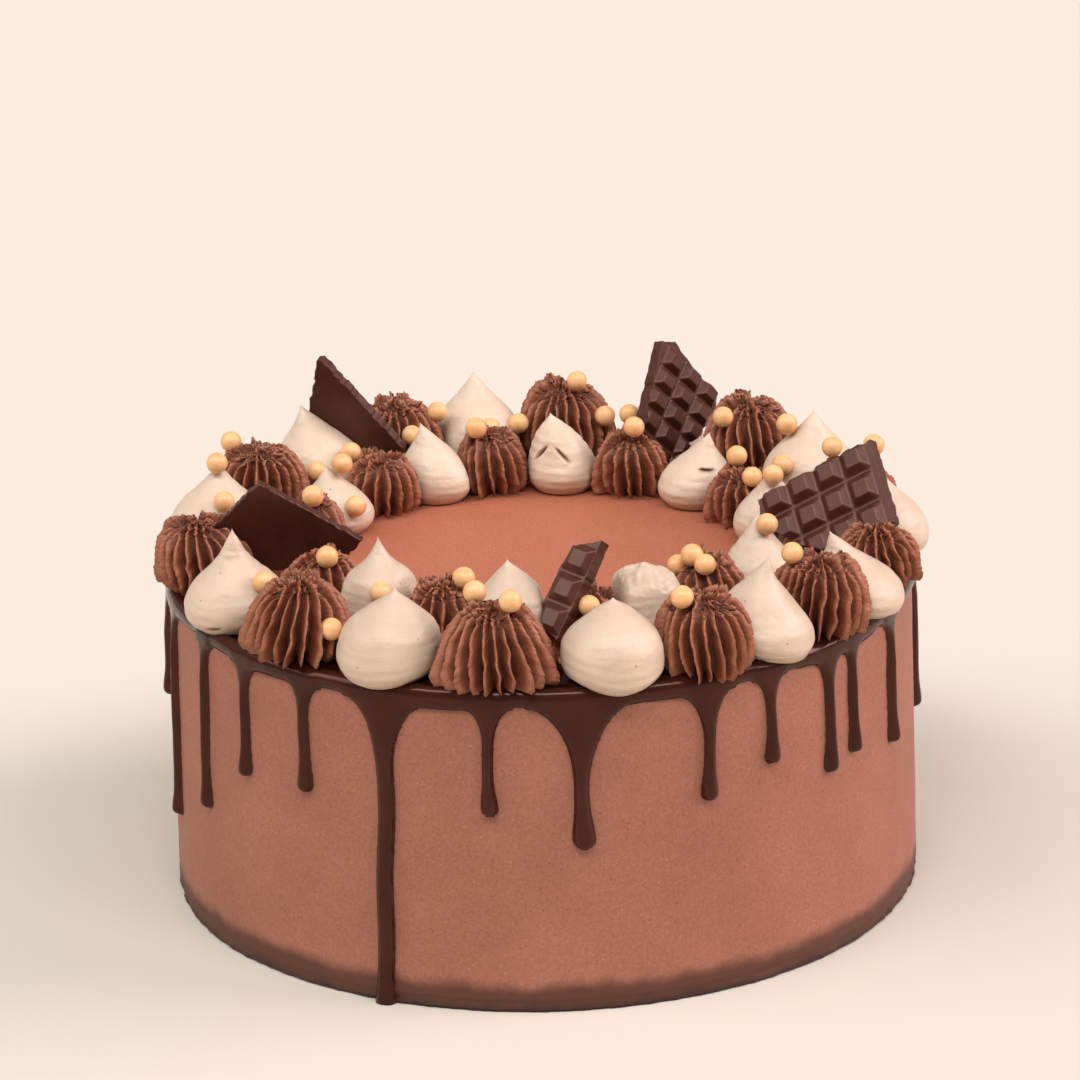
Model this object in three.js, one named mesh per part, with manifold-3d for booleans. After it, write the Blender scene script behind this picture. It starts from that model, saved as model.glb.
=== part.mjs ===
// A round chocolate mud cake: a buttercream-covered body, a ganache drip over its rim,
// two rings of piped kisses, five pieces of chocolate bar and small caramel pearls.
// Millimetres, +Z up; the origin is the centre of the flat base, and the front is -Y.
import * as THREE from 'three';
import { mergeVertices } from 'three/addons/utils/BufferGeometryUtils.js';
import Module from 'manifold-3d';

const wasm = await Module();
wasm.setup();

// ---- Driving dimensions -------------------------------------------------------------------
const CAKE_HEIGHT = 86.5;
const CAKE_TOP_RADIUS = 100;
const CAKE_BASE_RADIUS = 101.5;
const CAKE_TOP_ROUND = 2.4;
const CAKE_BASE_ROUND = 1.0;
const CAKE_SIDES = 64;
const GAP = 0.3; // clear space between separate pieces

const GANACHE_TOP = 1.2; // depth of the ganache on the top
const GANACHE_SKIRT = 1.5; // depth of the ganache on the side
const GANACHE_INNER_RADIUS = 79;
const DRIP_DEPTH = 2.4; // how far a drip can stand out from the side
const DRIP_GAP = 0.38; // behind a drip: a little more than the gap, as its facets cut corners
const DRIP_SIDES = 8;

const RING_GAP = 0.4; // between two kisses that press on each other
const OUTER_RING = { radius: 91, offset: 2.5, offsetBearing: 20, wall: 76.4 };
const INNER_RING = { radius: 65, offset: 0, offsetBearing: 0, wall: 75.0 };
const OUTER_KISS_RADIUS = 13.2;
const INNER_KISS_RADIUS = 10.4;
const TIP_LEAN = 2.2; // how far a tip may stand beside its kiss's axis

// Bearing in degrees, from the front towards +X, and height of each kiss. They were piped by
// eye, light and dark in turn, the light one first.
const OUTER_KISSES = [
  [299, 25], [317, 23.5], [335, 23], [352.5, 23.5], [11, 21.5], [26, 21.5],
  [39, 23], [50.5, 22.5], [62, 22], [76, 21], [91, 22.5], [107, 21.5],
  [123, 26], [138, 25], [156, 24], [174.7, 24], [191.5, 26.5], [206, 23.5],
  [223, 25.5], [240, 22.5], [258.5, 23.5], [279, 21],
];
const INNER_KISSES = [
  [320, 24.5], [336, 18.5], [354, 23.5], [9, 17], [24, 20], [43, 20],
  [63, 22], [83, 18], [102.5, 21], [120, 16.5], [138, 20.5], [156.5, 18.5],
  [174, 22], [191.5, 19], [206, 21.5], [222, 17.5], [239.5, 18.5], [257, 17],
  [277, 20], [298, 18],
];

// ---- Colours and finishes -----------------------------------------------------------------
const MATERIALS = {
  cake: { color: 0xa86a52, roughness: 0.72, metalness: 0 },
  ganache: { color: 0x3a1f17, roughness: 0.2, metalness: 0 },
  star: { color: 0x6b3a2a, roughness: 0.7, metalness: 0 },
  kiss: { color: 0xd9bfa3, roughness: 0.6, metalness: 0 },
  bar: { color: 0x412a25, roughness: 0.4, metalness: 0 },
};

const group = new THREE.Group();
group.name = 'chocolate_mud_cake';

// ---- Small tools --------------------------------------------------------------------------
const rad = THREE.MathUtils.degToRad;

// A repeatable number from 0 to 1 for each whole number and purpose.
function chance(index, purpose) {
  const wave = Math.sin(index * 12.9898 + purpose * 78.233) * 43758.5453;
  return wave - Math.floor(wave);
}

// The point at a radius and bearing, seen from above.
function polar(radius, bearing, z = 0) {
  const a = rad(bearing);
  return new THREE.Vector3(radius * Math.sin(a), -radius * Math.cos(a), z);
}

function toSolid(geometry) {
  const bare = geometry.clone();
  bare.deleteAttribute('normal');
  bare.deleteAttribute('uv');
  const merged = mergeVertices(bare, 1e-4);
  return new wasm.Manifold(new wasm.Mesh({
    numProp: 3,
    vertProperties: new Float32Array(merged.attributes.position.array),
    triVerts: new Uint32Array(merged.index.array),
  }));
}

function toGeometry(solid) {
  const mesh = solid.getMesh();
  const geometry = new THREE.BufferGeometry();
  geometry.setAttribute('position', new THREE.BufferAttribute(mesh.vertProperties, 3));
  geometry.setIndex(new THREE.BufferAttribute(mesh.triVerts, 1));
  geometry.computeVertexNormals();
  return geometry;
}

// The largest separate piece of a solid, without crumbs that a cut leaves.
function largestPiece(solid) {
  return solid.decompose().sort((a, b) => b.volume() - a.volume())[0];
}

function addPiece(name, solid, material) {
  const mesh = new THREE.Mesh(toGeometry(solid), new THREE.MeshStandardMaterial(material));
  mesh.name = name;
  group.add(mesh);
}

// A closed solid of revolution about Z; the profile runs from the axis back to the axis,
// from below to above.
function turned(profile, sides) {
  const points = profile.map(([r, z]) => new THREE.Vector2(r, z));
  const geometry = new THREE.LatheGeometry(points, sides);
  geometry.rotateX(Math.PI / 2);
  return geometry;
}

// ---- The cake's body ----------------------------------------------------------------------
function cakeRadius(z) {
  const t = THREE.MathUtils.clamp(z / CAKE_HEIGHT, 0, 1);
  return THREE.MathUtils.lerp(CAKE_BASE_RADIUS, CAKE_TOP_RADIUS, t);
}

const cakeProfile = [
  [0, 0], [CAKE_BASE_RADIUS - CAKE_BASE_ROUND, 0], [CAKE_BASE_RADIUS, CAKE_BASE_ROUND],
];
const TOP_EDGE_STEPS = 3;
for (let i = 0; i <= TOP_EDGE_STEPS; i += 1) {
  const a = (i / TOP_EDGE_STEPS) * Math.PI / 2;
  const r = CAKE_TOP_RADIUS - CAKE_TOP_ROUND * (1 - Math.cos(a));
  cakeProfile.push([r, CAKE_HEIGHT - CAKE_TOP_ROUND * (1 - Math.sin(a))]);
}
cakeProfile.push([0, CAKE_HEIGHT]);
addPiece('cake', toSolid(turned(cakeProfile, CAKE_SIDES)), MATERIALS.cake);

// ---- The ganache --------------------------------------------------------------------------
// Each drip: bearing, height of its lower end, half width of its stem, half width where it
// leaves the skirt. The one in front runs down to the plate.
const DRIPS = [
  [274, 54, 1.9, 5], [283.5, 25.7, 1.9, 5], [298, 37.4, 2.0, 5], [309.5, 52.7, 2.0, 6],
  [322, 54.2, 2.1, 6], [336, 1.2, 2.6, 13], [351.7, 54.1, 2.1, 7], [5.3, 44.7, 2.4, 14],
  [24.6, 53.9, 2.2, 9], [35.3, 59.8, 2.0, 6], [47.2, 51.6, 2.1, 7], [53, 53.7, 2.0, 5],
  [65.5, 48.8, 1.9, 6], [92, 41, 2.0, 5],
];
// Behind, where the drips aren't seen, they follow the same habit.
const BACK_DRIPS = { from: 106, to: 262, count: 11, shortest: 60, longest: 30 };
for (let i = 0; i < BACK_DRIPS.count; i += 1) {
  const { from, to, count, shortest, longest } = BACK_DRIPS;
  const bearing = from + ((to - from) / (count - 1)) * (i + 0.5 * (chance(i, 1) - 0.5));
  const end = THREE.MathUtils.lerp(longest, shortest, chance(i, 2));
  DRIPS.push([bearing, end, 1.9 + 0.4 * chance(i, 3), 5 + 6 * chance(i, 4)]);
}

// Height of the skirt's lower edge between the drips: it rises and falls.
const SKIRT_EDGE = { mean: 3, swing: 1.2, waves: 11 };
function skirtEdge(bearing) {
  const a = rad(bearing);
  const wave = 0.6 * Math.sin(SKIRT_EDGE.waves * a + 1.3) + 0.4 * Math.sin(5 * a + 0.4);
  return CAKE_HEIGHT - SKIRT_EDGE.mean + SKIRT_EDGE.swing * wave;
}

// The collar: a ring that lies on the rim and hangs over it. Its lower edge is turned at one
// height and then moved to the skirt's edge.
function ganacheCollar() {
  const top = CAKE_HEIGHT + GAP + GANACHE_TOP;
  const inside = cakeRadius(CAKE_HEIGHT - SKIRT_EDGE.mean) + GAP;
  const outer = inside + GANACHE_SKIRT;
  const edge = CAKE_HEIGHT - 12; // before the move, below every part of the skirt's edge
  const lip = 0.7;
  const shoulder = 2.4; // radius of the bend over the rim
  const profile = [
    [GANACHE_INNER_RADIUS, CAKE_HEIGHT + GAP], [inside, CAKE_HEIGHT + GAP], [inside, edge],
    [outer - lip, edge], [outer, edge + lip], [outer, top - shoulder],
    [outer - lip, top - lip], [outer - shoulder, top], [GANACHE_INNER_RADIUS + 1, top],
    [GANACHE_INNER_RADIUS, CAKE_HEIGHT + GAP],
  ];
  const geometry = turned(profile, CAKE_SIDES);
  const position = geometry.attributes.position;
  for (let i = 0; i < position.count; i += 1) {
    const above = position.getZ(i) - edge;
    if (above < 1) {
      const bearing = THREE.MathUtils.radToDeg(Math.atan2(position.getX(i), -position.getY(i)));
      position.setZ(i, skirtEdge(bearing) + above);
    }
  }
  return toSolid(geometry);
}

// One drip: a turned trumpet that is flattened to the drip's depth and wrapped on the side.
function ganacheDrip([bearing, end, stem, flare]) {
  const edge = CAKE_HEIGHT - SKIRT_EDGE.mean;
  const funnel = Math.min(flare * 1.5, (edge - end) * 0.8);
  const bulb = stem * 1.12;
  const top = edge + 1.4; // inside the collar
  const profile = [
    [0, end], [bulb, end + bulb * 0.8], [stem, edge - funnel],
    [stem + (flare - stem) * 0.16, edge - funnel * 0.45],
    [stem + (flare - stem) * 0.52, edge - funnel * 0.12],
    [flare, top], [0, top],
  ];
  const geometry = turned(profile, DRIP_SIDES);
  const position = geometry.attributes.position;
  for (let i = 0; i < position.count; i += 1) {
    const z = position.getZ(i);
    const out = Math.max(-position.getY(i), 0);
    const depth = DRIP_GAP + DRIP_DEPTH * (1 - Math.exp(-out / DRIP_DEPTH));
    const angle = rad(bearing) + position.getX(i) / CAKE_TOP_RADIUS;
    const r = cakeRadius(z) + depth;
    position.setXYZ(i, r * Math.sin(angle), -r * Math.cos(angle), z);
  }
  return toSolid(geometry);
}

let ganache = ganacheCollar();
for (const drip of DRIPS) ganache = ganache.add(ganacheDrip(drip));
addPiece('ganache_drip', ganache, MATERIALS.ganache);

// ---- The chocolate bar pieces -------------------------------------------------------------
// A piece lies in a plane: u runs to the right, v up, and its face looks along w.
function facePlane({ at, bearing, lean }) {
  const u = polar(1, bearing + 90);
  const w = polar(Math.cos(rad(lean)), bearing, Math.sin(rad(lean)));
  const v = new THREE.Vector3().crossVectors(w, u);
  const matrix = new THREE.Matrix4().makeBasis(u, v, w);
  return matrix.setPosition(at[0], at[1], CAKE_HEIGHT + at[2]);
}

function outlineShape(outline) {
  return new THREE.Shape(outline.map(([u, v]) => new THREE.Vector2(u, v)));
}

// The outline as a plate of a thickness behind its face, grown by a margin.
function plate(outline, thickness, margin = 0) {
  const shape = outlineShape(outline);
  const options = { depth: thickness, bevelEnabled: margin > 0, bevelSegments: 1 };
  options.bevelSize = margin;
  options.bevelThickness = margin;
  const geometry = new THREE.ExtrudeGeometry(shape, options);
  geometry.translate(0, 0, -thickness);
  return geometry;
}

// One moulded block of a bar: a low pyramid without its tip, sunk a little into the plate.
function block(u, v, { across, down, rise, turn }) {
  const sunk = 0.5;
  const foot = 0.92; // share of the pitch
  const head = 0.6; // share of the foot
  const width = Math.abs(across) * foot;
  const geometry = new THREE.BoxGeometry(width, down * foot, rise + sunk);
  const position = geometry.attributes.position;
  for (let i = 0; i < position.count; i += 1) {
    const size = position.getZ(i) > 0 ? head : 1;
    position.setXY(i, position.getX(i) * size, position.getY(i) * size);
  }
  geometry.translate(0, 0, (rise - sunk) / 2);
  geometry.rotateZ(rad(turn));
  geometry.translate(u, v, 0);
  return geometry;
}

// Outlines are [u, v] from each piece's place; its height there is counted from the cake's top.
const BAR_PIECES = [
  { // a smooth piece that leans over at the left
    name: 'chocolate_shard_left',
    at: [-70, -16, 10], bearing: -8, lean: -17, thickness: 2.2,
    outline: [[-20.8, 4.2], [-20.5, 2], [-13, -5], [14, -5.5], [23.4, 5.4], [-3.2, 23.4]],
  },
  { // a smooth piece with a ragged end at the back left
    name: 'chocolate_shard_back_left',
    at: [-52, 66, 12], bearing: -22, lean: -15, thickness: 3,
    outline: [
      [-7.1, 28.9], [-8.6, 22], [-11.6, 14], [-12, 11.5], [-9.4, 7.7], [-6, -4], [12, -6],
      [15.2, 0.6], [15.5, 2], [-5.4, 29.2],
    ],
  },
  { // a moulded piece that stands at the back right
    name: 'chocolate_bar_back_right',
    at: [32, 66, 4], bearing: 46, lean: 16, thickness: 3.4,
    outline: [[-0.9, 11], [4.4, -1.2], [29, 7.9], [32, 13.1], [20.3, 32.1], [15.7, 33.8]],
    blocks: { first: [18, 27], turn: -47, across: 8, down: 6.6, rise: 1.8, columns: 3, rows: 5 },
  },
  { // a moulded piece at the right
    name: 'chocolate_bar_right',
    at: [80, -14, 14], bearing: -38, lean: 26, thickness: 3.4,
    outline: [[-27.1, 1.9], [-24.7, -3], [-12, -7.5], [4, -7.5], [16.1, 3.9], [2.8, 24]],
    blocks: { first: [-0.5, 18], turn: 35, across: -8.6, down: 8.8, rise: 1.8, columns: 4, rows: 4 },
  },
  { // a narrow moulded piece in front
    name: 'chocolate_finger_front',
    at: [4, -78, 8], bearing: -35, lean: 35, thickness: 4,
    outline: [[-7.7, 7.2], [-4, 1], [0, -1], [3.7, 26.8], [-3.9, 24], [-5.8, 18.2]],
    blocks: { first: [-1.2, 21], turn: -8, across: 8.6, down: 8.4, rise: 1.2, columns: 1, rows: 3 },
  },
];

// A bar piece and the space that the kisses under it leave for it.
function barPiece({ outline, thickness, blocks, ...place }) {
  const matrix = facePlane(place);
  const rise = blocks ? blocks.rise : 0;
  const raised = (depth, margin) => toSolid(
    plate(outline, depth, margin).translate(0, 0, rise).applyMatrix4(matrix),
  );
  let solid = toSolid(plate(outline, thickness).applyMatrix4(matrix));
  if (blocks) {
    const { first, turn, across, down, columns, rows } = blocks;
    const [right, up] = [Math.cos(rad(turn)), Math.sin(rad(turn))];
    const bounds = raised(thickness + rise, 0);
    for (let row = 0; row < rows; row += 1) {
      for (let column = 0; column < columns; column += 1) {
        const u = first[0] + right * across * column + up * down * row;
        const v = first[1] + up * across * column - right * down * row;
        const shape = toSolid(block(u, v, blocks).applyMatrix4(matrix));
        solid = solid.add(shape.intersect(bounds));
      }
    }
  }
  return { solid, space: raised(thickness + rise, GAP) };
}

const spaces = [];
for (const piece of BAR_PIECES) {
  const { solid, space } = barPiece(piece);
  spaces.push(space);
  addPiece(piece.name, largestPiece(solid), MATERIALS.bar);
}

// ---- The piped kisses ---------------------------------------------------------------------
// Profiles as [share of the height, share of the radius], from the foot up; the tip closes them.
const STAR_PROFILE = [[0, 0.84], [0.16, 1], [0.56, 0.87], [0.87, 0.44]];
const KISS_PROFILE = [[0, 0.8], [0.18, 1], [0.42, 0.94], [0.66, 0.54], [0.87, 0.16]];
const OUTER_STAR = { profile: STAR_PROFILE, sides: 20, ridge: 0.11 };
const INNER_STAR = { profile: STAR_PROFILE, sides: 18, ridge: 0.11 };
const OUTER_KISS = { profile: KISS_PROFILE, sides: 12, ridge: 0 };
const INNER_KISS = { profile: KISS_PROFILE, sides: 10, ridge: 0 };

// Pearls: the kiss, the bearing round it, the distance from its axis and the height over its
// foot at which each one sits.
const PEARL_RADIUS = 2.95;
const PEARLS = {
  outer_01: [[43, 11.8, 14]],
  outer_02: [[40, 14, 9.8]],
  outer_04: [[49, 5.7, 22.8], [229, 6.2, 22.6]],
  outer_06: [[312, 7.3, 20.1]],
  outer_08: [[282, 7.1, 21.2]],
  outer_12: [[270, 6.5, 20.7], [75, 5, 21.4]],
  outer_13: [[282, 6.6, 20.7], [323, 13.9, 12]],
  outer_14: [[308, 10.1, 19.1]],
  outer_15: [[288, 10.6, 14.9]],
  outer_16: [[37, 5.7, 23.4], [57, 13.3, 13.6]],
  outer_17: [[64, 13.8, 12.2], [19, 13.3, 13.1]],
  outer_18: [[15, 13.1, 13.9], [77, 10.8, 17.3]],
  outer_19: [[40, 12.8, 13], [356, 14.4, 9.1]],
  outer_20: [[258, 8.1, 20]],
  outer_21: [[17, 2.2, 24], [15, 10, 15.4]],
  inner_01: [[2, 9.6, 14]],
  inner_02: [[106, 6.7, 16.8]],
  inner_04: [[14, 8.2, 13.7]],
  inner_06: [[299, 5.6, 19.1], [345, 6.4, 17.6], [262, 8.6, 15]],
  inner_07: [[39, 3.1, 20.7]],
  inner_09: [[3, 3.1, 19.8]],
  inner_10: [[252, 1.6, 18.2], [19, 7.1, 14.4]],
  inner_12: [[25, 2.7, 19.4]],
  inner_14: [[297, 4.7, 18.8]],
  inner_17: [[32, 10.8, 9.4], [63, 2.3, 19]],
  inner_18: [[27, 4.4, 17.1]],
  inner_20: [[12, 6.6, 16.3]],
};

// How far a kiss may reach in a direction before it presses on a neighbour.
function reach(direction, walls) {
  let limit = Infinity;
  for (const { normal, distance } of walls) {
    const facing = normal.dot(direction);
    if (facing > 0.01) limit = Math.min(limit, distance / facing);
  }
  return limit;
}

// A soft minimum, so that a pressed side stays rounded.
function press(radius, limit) {
  const softness = 0.8;
  const farAway = 6;
  if (limit > radius + farAway) return radius;
  return -softness * Math.log(Math.exp(-radius / softness) + Math.exp(-limit / softness));
}

function kissSolid(index, centre, radius, height, style, walls) {
  const { profile, sides, ridge } = style;
  const turn = chance(index, 5) * Math.PI;
  const lean = polar(TIP_LEAN * chance(index, 6), 360 * chance(index, 7));
  const vertices = [centre.x, centre.y, centre.z];
  for (const [up, out] of profile) {
    for (let k = 0; k < sides; k += 1) {
      const angle = turn + (k / sides) * 2 * Math.PI;
      const direction = new THREE.Vector3(Math.cos(angle), Math.sin(angle), 0);
      const wave = 1 - ridge * (k % 2) * 2 * Math.min(1, 0.5 + up);
      const r = press(radius * out * wave, reach(direction, walls) - up * up * TIP_LEAN);
      const x = centre.x + direction.x * r + lean.x * up * up;
      const y = centre.y + direction.y * r + lean.y * up * up;
      vertices.push(x, y, centre.z + height * up);
    }
  }
  vertices.push(centre.x + lean.x, centre.y + lean.y, centre.z + height);
  const triangles = [];
  const last = 1 + profile.length * sides;
  for (let k = 0; k < sides; k += 1) {
    const next = (k + 1) % sides;
    triangles.push(0, 1 + next, 1 + k);
    for (let ring = 0; ring < profile.length - 1; ring += 1) {
      const low = 1 + ring * sides;
      const high = low + sides;
      triangles.push(low + k, low + next, high + next, low + k, high + next, high + k);
    }
    triangles.push(last - sides + k, last - sides + next, last);
  }
  const geometry = new THREE.BufferGeometry();
  geometry.setAttribute('position', new THREE.Float32BufferAttribute(vertices, 3));
  geometry.setIndex(triangles);
  return toSolid(geometry);
}

function pearlSolid(foot, [bearing, out, up]) {
  const corner = PEARL_RADIUS * 1.04; // the flat faces lie inside the sphere, so corners lie out
  const geometry = new THREE.IcosahedronGeometry(corner);
  const place = polar(out, bearing).add(foot);
  geometry.translate(place.x, place.y, place.z + up);
  return toSolid(geometry);
}

function pipeRing(ringName, ring, rows, radius, foot, side, styles) {
  rows.forEach(([bearing, height], i) => {
    const before = rows[(i + rows.length - 1) % rows.length][0];
    const after = rows[(i + 1) % rows.length][0];
    const away = ring.radius + ring.offset * Math.cos(rad(bearing - ring.offsetBearing));
    const centre = polar(away, bearing, foot);
    const stepBack = ((bearing - before + 360) % 360) / 2;
    const stepOn = ((after - bearing + 360) % 360) / 2;
    const walls = [
      { normal: polar(1, bearing - stepBack - 90), distance: away * Math.sin(rad(stepBack)) },
      { normal: polar(1, bearing + stepOn + 90), distance: away * Math.sin(rad(stepOn)) },
      { normal: polar(side, bearing), distance: Math.abs(ring.wall - away) },
    ];
    for (const wall of walls) wall.distance -= RING_GAP / 2;
    const index = i + (side > 0 ? 100 : 0);
    let solid = kissSolid(index, centre, radius, height, styles[i % 2], walls);
    for (const space of spaces) solid = solid.subtract(space);
    solid = largestPiece(solid);
    const number = String(i + 1).padStart(2, '0');
    for (const pearl of PEARLS[`${ringName}_${number}`] ?? []) {
      solid = solid.add(pearlSolid(centre, pearl));
    }
    for (const space of spaces) solid = solid.subtract(space);
    const material = i % 2 ? MATERIALS.star : MATERIALS.kiss;
    addPiece(`${ringName}_${i % 2 ? 'star' : 'kiss'}_${number}`, largestPiece(solid), material);
  });
}

const outerFoot = CAKE_HEIGHT + GAP + GANACHE_TOP + GAP;
const innerFoot = CAKE_HEIGHT + GAP;
pipeRing('outer', OUTER_RING, OUTER_KISSES, OUTER_KISS_RADIUS, outerFoot, -1,
  [OUTER_KISS, OUTER_STAR]);
pipeRing('inner', INNER_RING, INNER_KISSES, INNER_KISS_RADIUS, innerFoot, 1,
  [INNER_KISS, INNER_STAR]);

export default group;
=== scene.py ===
import math

import bmesh
import bpy
import numpy as np
from mathutils import Matrix, Vector, noise


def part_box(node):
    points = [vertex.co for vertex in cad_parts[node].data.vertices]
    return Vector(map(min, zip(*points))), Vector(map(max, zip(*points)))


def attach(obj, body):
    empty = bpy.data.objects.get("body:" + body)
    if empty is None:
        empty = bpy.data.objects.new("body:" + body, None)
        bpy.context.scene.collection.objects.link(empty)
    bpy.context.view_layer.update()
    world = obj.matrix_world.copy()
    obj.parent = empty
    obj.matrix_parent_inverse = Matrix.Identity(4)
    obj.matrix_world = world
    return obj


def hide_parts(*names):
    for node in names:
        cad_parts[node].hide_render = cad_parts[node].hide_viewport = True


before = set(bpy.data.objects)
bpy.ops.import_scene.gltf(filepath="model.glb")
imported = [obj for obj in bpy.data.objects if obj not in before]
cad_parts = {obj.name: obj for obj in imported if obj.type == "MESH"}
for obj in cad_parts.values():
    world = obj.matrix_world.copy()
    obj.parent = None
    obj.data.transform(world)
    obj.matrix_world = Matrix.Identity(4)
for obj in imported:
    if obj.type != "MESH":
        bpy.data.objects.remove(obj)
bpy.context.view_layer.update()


# ---- The cake's body -------------------------------------------------------------------------
# Chocolate mud cake under a coat of chocolate buttercream. The coat was scraped smooth with a
# long edge while the cake turned, so it is nearly true, with air holes as fine as grains, and
# crumbs show in the last few millimetres over the foot.
MM = 0.001  # the frame is in metres; the sizes are in millimetres and multiplied by this
CAKE_HEIGHT = 86.5
CAKE_TOP_RADIUS = 100
CAKE_BASE_RADIUS = 101.5
CAKE_RIM_ROUND = 2.4
CAKE_COLUMNS = 400
SIDE_WAVES = ((0.22, 34), (0.1, 11))  # how deep and how long the waves of the side are
TOP_WAVE = (0.16, 26)
SCRAPE_DEPTH = 0.05  # of the level marks that the long edge left
CRUMB_SIZE = 2.2
CRUMB_DEPTH = 0.5
CRUMBS_END = 3.4  # the height at which the coat covers the last of them
COAT_EDGE = 0.2  # how far the coat stands out over the crumbs


def cake_radius(height):
    """Radius of the cake's side at a height, both in millimetres."""
    share = np.clip(height / CAKE_HEIGHT, 0, 1)
    return CAKE_BASE_RADIUS + (CAKE_TOP_RADIUS - CAKE_BASE_RADIUS) * share


def rim_point(angle):
    """Radius and height on the rounded rim; the angle is 0 on the side and a quarter on top."""
    return (CAKE_TOP_RADIUS - CAKE_RIM_ROUND * (1 - math.cos(angle)),
            CAKE_HEIGHT - CAKE_RIM_ROUND * (1 - math.sin(angle)))


def smooth_step(low, high, value):
    """From 0 at low to 1 at high, with no corner at either."""
    share = np.clip((value - low) / (high - low), 0, 1)
    return share * share * (3 - 2 * share)


def rough(points, grain, seed=0):
    """Noise from -1 to 1 at each point; grain is the size of its lumps."""
    shift = Vector((seed * 17.3, seed * 5.1, seed * 9.7))
    return np.array([noise.noise(Vector(p) / grain + shift) for p in points])


def add_piece(name, points_mm, faces, material, shade_smooth=True):
    """Makes a mesh object from points in millimetres."""
    mesh = bpy.data.meshes.new(name)
    mesh.from_pydata([tuple(p) for p in np.asarray(points_mm) * MM], [], faces)
    mesh.validate()
    mesh.materials.append(material)
    if shade_smooth:
        mesh.shade_smooth()
    piece = bpy.data.objects.new(name, mesh)
    bpy.context.scene.collection.objects.link(piece)
    return piece


def turned_faces(columns, rows):
    """Faces between rings of points that lie one after the other, from below to above. The two
    points that come after the rings, a lower and an upper one, close them."""
    faces = []
    for low in range(0, (rows - 1) * columns, columns):
        for column in range(columns):
            beside = (column + 1) % columns
            high = low + columns
            faces.append((low + column, low + beside, high + beside, high + column))
    lower, last = rows * columns, (rows - 1) * columns
    for column in range(columns):
        beside = (column + 1) % columns
        faces.append((lower, beside, column))
        faces.append((last + column, last + beside, lower + 1))
    return faces


def linear(hex_colour):
    """An sRGB hex colour as linear red, green, blue and alpha."""
    channels = [int(hex_colour[i : i + 2], 16) / 255 for i in (1, 3, 5)]
    return [c / 12.92 if c <= 0.04045 else ((c + 0.055) / 1.055) ** 2.4 for c in channels] + [1]


def connect(tree, node, inputs):
    """Gives a node's inputs, by name or number, what they hold: a value, a socket or a node,
    which stands for its first output."""
    for name, source in inputs.items():
        if isinstance(source, bpy.types.Node):
            source = source.outputs[0]
        if isinstance(source, bpy.types.NodeSocket):
            tree.links.new(source, node.inputs[name])
        else:
            node.inputs[name].default_value = source


def add_node(tree, kind, inputs=None, stops=(), **settings):
    """Adds a node with its inputs, its settings and a colour ramp's places and colours."""
    node = tree.nodes.new(kind)
    for name, value in settings.items():
        setattr(node, name, value)
    for number, (position, colour) in enumerate(stops):
        if number > 1:
            node.color_ramp.elements.new(position)
        node.color_ramp.elements[number].position = position
        node.color_ramp.elements[number].color = linear(colour)
    connect(tree, node, inputs or {})
    return node


def new_material(name):
    """A material with its shader, and the position on the object to paint by."""
    material = bpy.data.materials.new(name)
    material.use_nodes = True
    tree = material.node_tree
    tree.nodes.clear()
    shader = add_node(tree, "ShaderNodeBsdfPrincipled")
    add_node(tree, "ShaderNodeOutputMaterial", {"Surface": shader})
    place = add_node(tree, "ShaderNodeTexCoord").outputs["Object"]
    return material, tree, shader, place


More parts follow.
